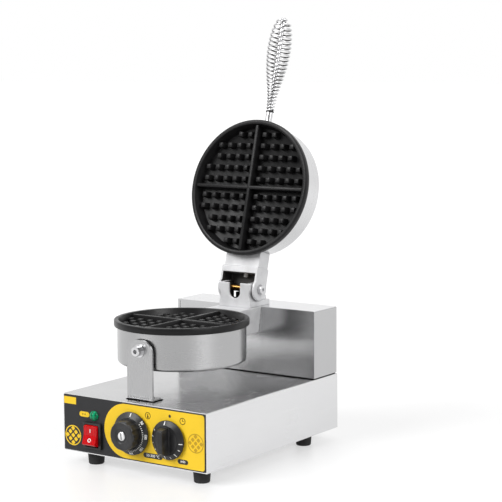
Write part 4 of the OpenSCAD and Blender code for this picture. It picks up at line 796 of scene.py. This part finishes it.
def wireCoil():
    count = coil["turns"] * coil["steps"]
    curve = bpy.data.curves.new("coil", "CURVE")
    curve.dimensions = "3D"
    curve.bevel_depth = coil["wire"] / 2000 - 0.00002
    curve.bevel_resolution = 3
    curve.use_fill_caps = True
    spline = curve.splines.new("POLY")
    spline.points.add(count)
    middles = [coilPoint(i / count, coilRadius(i / count)) for i in range(count + 1)]
    for point, middle in zip(spline.points, middles):
        point.co = (*middle, 1)
    holder = bpy.data.objects.new("coil", curve)
    bpy.context.scene.collection.objects.link(holder)
    bpy.context.view_layer.update()
    mesh = bpy.data.meshes.new_from_object(holder.evaluated_get(bpy.context.evaluated_depsgraph_get()))
    bpy.data.objects.remove(holder)
    bpy.data.curves.remove(curve)
    mesh.name = "coiledGrip"
    # how far each point of the wire's skin looks towards the coil's axis, which sets the painted shade on that side
    nearest = KDTree(len(middles))
    for i, middle in enumerate(middles):
        nearest.insert(middle, i)
    nearest.balance()
    inner = []
    for v in mesh.vertices:
        middle, i, far = nearest.find(v.co)
        inner.append((v.co - middle).normalized().dot((coilPoint(i / count, 0) - middle).normalized()))
    mesh.attributes.new("innerSide", "FLOAT", "POINT").data.foreach_set("value", inner)
    return placeMesh("coiledGrip", mesh, finishes["chromeWire"], "lid", ["handle_spring"], 60)


wireCoil()
print("coiled grip made")

# a thin matte black frame around the bracket's foot: painted shadow that shows as a dark line there
footShadowFrame = {"wide": 47.6, "deep": 22.9, "border": 1.4, "thick": 0.7, "middleY": 26.25}
bm = bmesh.new()
addPart(bm, framePlate(footShadowFrame["wide"], footShadowFrame["deep"], footShadowFrame["border"], footShadowFrame["thick"]),
        Matrix.Translation(at(0, footShadowFrame["middleY"], bodyTop)) @ millimetres)
makePiece("bracketFootShadow", bm, finishes["shadowBlack"], "base", sharp=30)

panel = {"film": 0.8, "field": 1.1, "thick": 0.08}


def printOn(name, parts, finish, body, layer):
    # parts: (bmesh, x, height above the body's underside, turn)
    bm = bmesh.new()
    for part, x, up, turn in parts:
        addPart(bm, part, facing(x, -layer, bodyLow + up) @ Matrix.Rotation(turn, 4, "Z") @ millimetres)
    return makePiece(name, bm, finish, body, sharp=30)


thick = panel["thick"]
badge = {"ring": 14.5, "line": 1.5, "tile": 5.2, "round": 1, "step": 7.2, "left": (-107.5, 23),
         "right": (107.5, 39.5), "small": 0.92}


def badgeParts(x, up, size):
    # a plain ring with nine tiles set cornerwise
    tile = badge["tile"] * size
    parts = [(ringPlate(badge["ring"] * size, (badge["ring"] - badge["line"]) * size, thick), x, up, 0)]
    for column in (-1, 0, 1):
        for line in (-1, 0, 1):
            across, rise = column * badge["step"] * size, line * badge["step"] * size
            dx, dz = (across - rise) * math.sqrt(0.5), (across + rise) * math.sqrt(0.5)
            parts.append((plaque(tile, tile, badge["round"], thick, 3), x + dx, up + dz, math.pi / 4))
    return parts


# a flat mark: width, height, corner radius, then its place across and up from the body's underside
flatMarks = {
    "nameBar": (22, 10, 0.4, -112.2, 72.6),
    "lampPill": (18, 7.4, 3.7, -86.2, 55.6),
    "thermometerStem": (1.4, 3.8, 0.6, 27, 68.2),
    "minuteHand": (0.9, 3.1, 0.4, 86, 68.4),
    "hourHand": (2.6, 0.9, 0.4, 87, 67),
    "temperaturePill": (33, 7, 3.5, 35, 12.4),
    "timerPill": (17.5, 6.6, 3.3, 86, 11.4),
}
heatStroke = {"size": (0.8, 3.2, 0.35), "first": -89.5, "step": 2.8, "up": 55.6, "lean": 0.3}
icon = {"outer": 4.8, "inner": 3.8, "thermometer": (27, 67.5), "bulb": 1.5, "bulbAt": (27, 65.8), "clock": (86, 67)}
zeroDot = {"radius": 2.1, "at": (64.5, 71.4)}
words = {"size": 5.4, "bold": 0.12, "temperature": (35, 12.4), "timer": (86, 12)}


def flatMark(label):
    width, height, radius, x, up = flatMarks[label]
    return plaque(width, height, radius, thick), x, up, 0


printOn("panelYellowPrint", [flatMark("nameBar"), flatMark("lampPill")] + badgeParts(*badge["left"], 1),
        finishes["filmYellow"], "base", panel["film"])
strokes = [(plaque(*heatStroke["size"], thick), heatStroke["first"] + heatStroke["step"] * k, heatStroke["up"],
            heatStroke["lean"]) for k in range(3)]
printOn("heatMark", strokes, finishes["inkBrown"], "base", panel["film"] + thick)
printOn("fieldAmberPrint", badgeParts(*badge["right"], badge["small"]), finishes["filmAmber"], "base",
        panel["field"])
thermometer = [(ringPlate(icon["outer"], icon["inner"], thick), *icon["thermometer"], 0),
               flatMark("thermometerStem"), (discPlate(icon["bulb"], thick), *icon["bulbAt"], 0)]
clock = [(ringPlate(icon["outer"], icon["inner"], thick), *icon["clock"], 0), flatMark("minuteHand"),
         flatMark("hourHand")]
printOn("fieldIcons", thermometer + clock, finishes["inkBrown"], "base", panel["field"])
labels = [flatMark("temperaturePill"), flatMark("timerPill"), (discPlate(zeroDot["radius"], thick), *zeroDot["at"], 0)]
printOn("fieldLabels", labels, finishes["filmBlack"], "base", panel["field"])
labelWords = [(lettering("50-300 °C", words["size"], thick, words["bold"]), *words["temperature"], 0),
              (lettering("min", words["size"], thick, words["bold"]), *words["timer"], 0)]
printOn("labelMarks", labelWords, finishes["markWhite"], "base", panel["field"] + thick)
print("panel print made")

skirt = {"back": 3.8, "edge": 1.6, "high": 6.0, "clear": 0.02}
dialPrint = {"thick": 0.06, "bold": 0.16}
tempMiddle, timerMiddle = middleOf("temp_knob"), middleOf("timer_knob")
tempDial = {"x": tempMiddle.x, "z": tempMiddle.z, "outer": halfWidth("temp_knob"), "inner": 22, "numbers": 4.8,
            "body": "temp_dial"}
timerDial = {"x": timerMiddle.x, "z": timerMiddle.z, "outer": halfWidth("timer_knob"), "inner": 20.5, "numbers": 3.1,
             "body": "timer_dial"}


def onSkirt(dial, angle, radius):
    # clockwise from the top; local y points outwards along the skirt's slope
    slope = math.atan2(skirt["high"] - skirt["edge"], dial["outer"] - dial["inner"])
    height = skirt["edge"] + (dial["outer"] - radius) * math.tan(slope) + skirt["clear"]
    return (facing(dial["x"], -skirt["back"], dial["z"]) @ Matrix.Rotation(-math.radians(angle), 4, "Z")
            @ Matrix.Translation((0, radius / 1000, height / 1000)) @ Matrix.Rotation(-slope, 4, "X") @ millimetres)


def dialMarks(name, dial, ticks, numbers):
    bm = bmesh.new()
    for angle, radius, length, width in ticks:
        addPart(bm, plaque(width, length, width * 0.3, dialPrint["thick"], 2), onSkirt(dial, angle, radius))
    for angle, radius, number in numbers:
        addPart(bm, lettering(number, dial["numbers"], dialPrint["thick"], dialPrint["bold"]),
                onSkirt(dial, angle, radius))
    return makePiece(name, bm, finishes["markWhite"], dial["body"], sharp=30)


# ticks: angle, radius, length and width; numbers: angle, radius and figure
tempTicks = [(4, 26.6, 5.4, 1.4)] + [(50 + 7 * k, 23.8, 1.7, 0.9) for k in range(31)]
tempNumbers = [(50 + 42 * k, 27.2, str(50 * (k + 1))) for k in range(6)]
dialMarks("temperatureMarks", tempDial, tempTicks, tempNumbers)
timerTicks = [(-7, 23.5, 5.4, 1.5)] + [(95 + 23 * k, 23.7, 3.2 if k % 2 else 5.4, 1.1) for k in range(10)]
dialMarks("timerMarks", timerDial, timerTicks, [])
pointer = {"wide": 1.6, "long": 8.6, "round": 0.5, "thick": 0.04, "out": -0.045, "turn": 0.1}
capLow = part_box("temp_cap")[0].y
bm = bmesh.new()
capPlace = facing(tempDial["x"], (capLow - frontY) * 1000 - pointer["out"], tempDial["z"])
addPart(bm, plaque(pointer["wide"], pointer["long"], pointer["round"], pointer["thick"], 3),
        capPlace @ Matrix.Rotation(pointer["turn"], 4, "Z") @ millimetres)
makePiece("capPointer", bm, finishes["blackPlastic"], "temp_dial", sharp=30)

rockerMiddle = middleOf("switch_rocker")
rocker = {"x": rockerMiddle.x, "z": bodyLow + 27, "axisY": -1, "half": math.radians(10), "apex": 7.0,
          "lean": math.atan2(2.2, 14.5), "mark": 6.6, "bar": (1.3, 5.2, 0.3), "ring": (2.9, 1.7), "thick": 0.06}


def onRocker(side, along):
    # on the upper or lower half of the rocker's V face
    middle = facing(rocker["x"], rocker["axisY"], rocker["z"]) @ Matrix.Rotation(-rocker["half"], 4, "X")
    face = Matrix.Translation((0, 0, rocker["apex"] / 1000)) @ Matrix.Rotation(side * rocker["lean"], 4, "X")
    return middle @ face @ Matrix.Translation((0, side * along / 1000, 0.00003)) @ millimetres


bm = bmesh.new()
addPart(bm, plaque(*rocker["bar"], rocker["thick"], 2), onRocker(1, rocker["mark"]))
addPart(bm, ringPlate(*rocker["ring"], rocker["thick"], 32), onRocker(-1, rocker["mark"]))
makePiece("rockerMarks", bm, finishes["markWhite"], "rocker", sharp=30)
print("dial and rocker marks made")


studio = {"floorSize": 30, "floorTone": 0.46, "floorRough": 0.4, "floorSpecular": 0.3, "floorGlow": 0.46,
          "front": (0.0, -0.98, 0.2), "turnsDark": (0.1, 0.95), "frontGlow": 0.3, "fill": 0.42}


def buildFloor():
    bm = bmesh.new()
    bmesh.ops.create_grid(bm, x_segments=1, y_segments=1, size=studio["floorSize"])
    mesh = bpy.data.meshes.new("floor")
    bm.to_mesh(mesh)
    bm.free()
    floor = bpy.data.objects.new("floor", mesh)
    bpy.context.scene.collection.objects.link(floor)
    finish = bpy.data.materials.new("paleFloor")
    finish.use_nodes = True
    tree = finish.node_tree
    shader = tree.nodes["Principled BSDF"]
    shader.inputs["Base Color"].default_value = (*[studio["floorTone"]] * 3, 1)
    shader.inputs["Roughness"].default_value = studio["floorRough"]
    shader.inputs["Specular IOR Level"].default_value = studio["floorSpecular"]
    path = addNode(tree, "ShaderNodeLightPath")
    seen = mathInto(tree, "MAXIMUM", path.outputs["Is Camera Ray"], path.outputs["Is Glossy Ray"])
    seen = mathInto(tree, "MAXIMUM", seen, path.outputs["Is Transmission Ray"])
    shader.inputs["Emission Color"].default_value = (1, 1, 1, 1)
    tree.links.new(mathInto(tree, "MULTIPLY", seen, studio["floorGlow"]), shader.inputs["Emission Strength"])
    mesh.materials.append(finish)


def buildWorld():
    # white where it is looked at, darker in front as the steel mirrors it
    world = bpy.data.worlds.new("studio")
    bpy.context.scene.world = world
    world.use_nodes = True
    tree = world.node_tree
    background = tree.nodes["Background"]
    path = addNode(tree, "ShaderNodeLightPath")
    place = addNode(tree, "ShaderNodeTexCoord")
    toward = addNode(tree, "ShaderNodeVectorMath", operation="DOT_PRODUCT")
    toward.inputs[1].default_value = studio["front"]
    tree.links.new(place.outputs["Generated"], toward.inputs[0])
    walls = rangeInto(tree, toward.outputs["Value"], *studio["turnsDark"], 1.0, studio["frontGlow"], smooth=True)
    seen = mathInto(tree, "MAXIMUM", path.outputs["Is Camera Ray"], path.outputs["Is Transmission Ray"])
    shiny = mathInto(tree, "MULTIPLY", walls, path.outputs["Is Glossy Ray"])
    bright = mathInto(tree, "MAXIMUM", seen, shiny)
    background.inputs["Color"].default_value = (1, 1, 1, 1)
    tree.links.new(mathInto(tree, "MAXIMUM", bright, studio["fill"]), background.inputs["Strength"])


lamps = {
    "keyLight": {"from": (-1.1, -1.9, 1.7), "spread": 34, "strength": 2.0},
    "rightLight": {"from": (2.1, -0.5, 1.3), "spread": 30, "strength": 1.25},
    "topLight": {"from": (-0.2, 0.5, 2.2), "spread": 50, "strength": 0.5},
}


def buildLamps():
    # wide soft sources, so far off that the floor is lit evenly
    for name, values in lamps.items():
        data = bpy.data.lights.new(name, "SUN")
        data.angle = math.radians(values["spread"])
        data.energy = values["strength"]
        lamp = bpy.data.objects.new(name, data)
        lamp.location = values["from"]
        lamp.rotation_euler = (-lamp.location).to_track_quat("-Z", "Y").to_euler()
        bpy.context.scene.collection.objects.link(lamp)


view = {"place": (1.354672, 1.668914, 0.564599), "yaw": -0.606, "pitch": 0.1192, "roll": -0.0055, "lens": 114.6}


def buildCamera():
    v = view
    forward = Vector((math.sin(v["yaw"]) * math.cos(v["pitch"]), math.cos(v["yaw"]) * math.cos(v["pitch"]),
                      -math.sin(v["pitch"])))
    right = forward.cross(Vector((0, 0, 1))).normalized()
    up = right.cross(forward)
    rolledRight = math.cos(v["roll"]) * right + math.sin(v["roll"]) * up
    rolledUp = -math.sin(v["roll"]) * right + math.cos(v["roll"]) * up
    data = bpy.data.cameras.new("camera")
    data.lens = v["lens"]
    data.sensor_width = 36
    data.clip_end = 60
    camera = bpy.data.objects.new("camera", data)
    bpy.context.scene.collection.objects.link(camera)
    place = Vector((v["place"][0], frontY - v["place"][1], v["place"][2]))
    turn = Matrix((rolledRight, rolledUp, -forward)).transposed().to_4x4()
    camera.matrix_world = Matrix.Translation(place) @ turn
    bpy.context.scene.camera = camera


buildFloor()
buildWorld()
buildLamps()
buildCamera()
bpy.context.scene.view_settings.view_transform = "Standard"
print("stage, light and camera set")
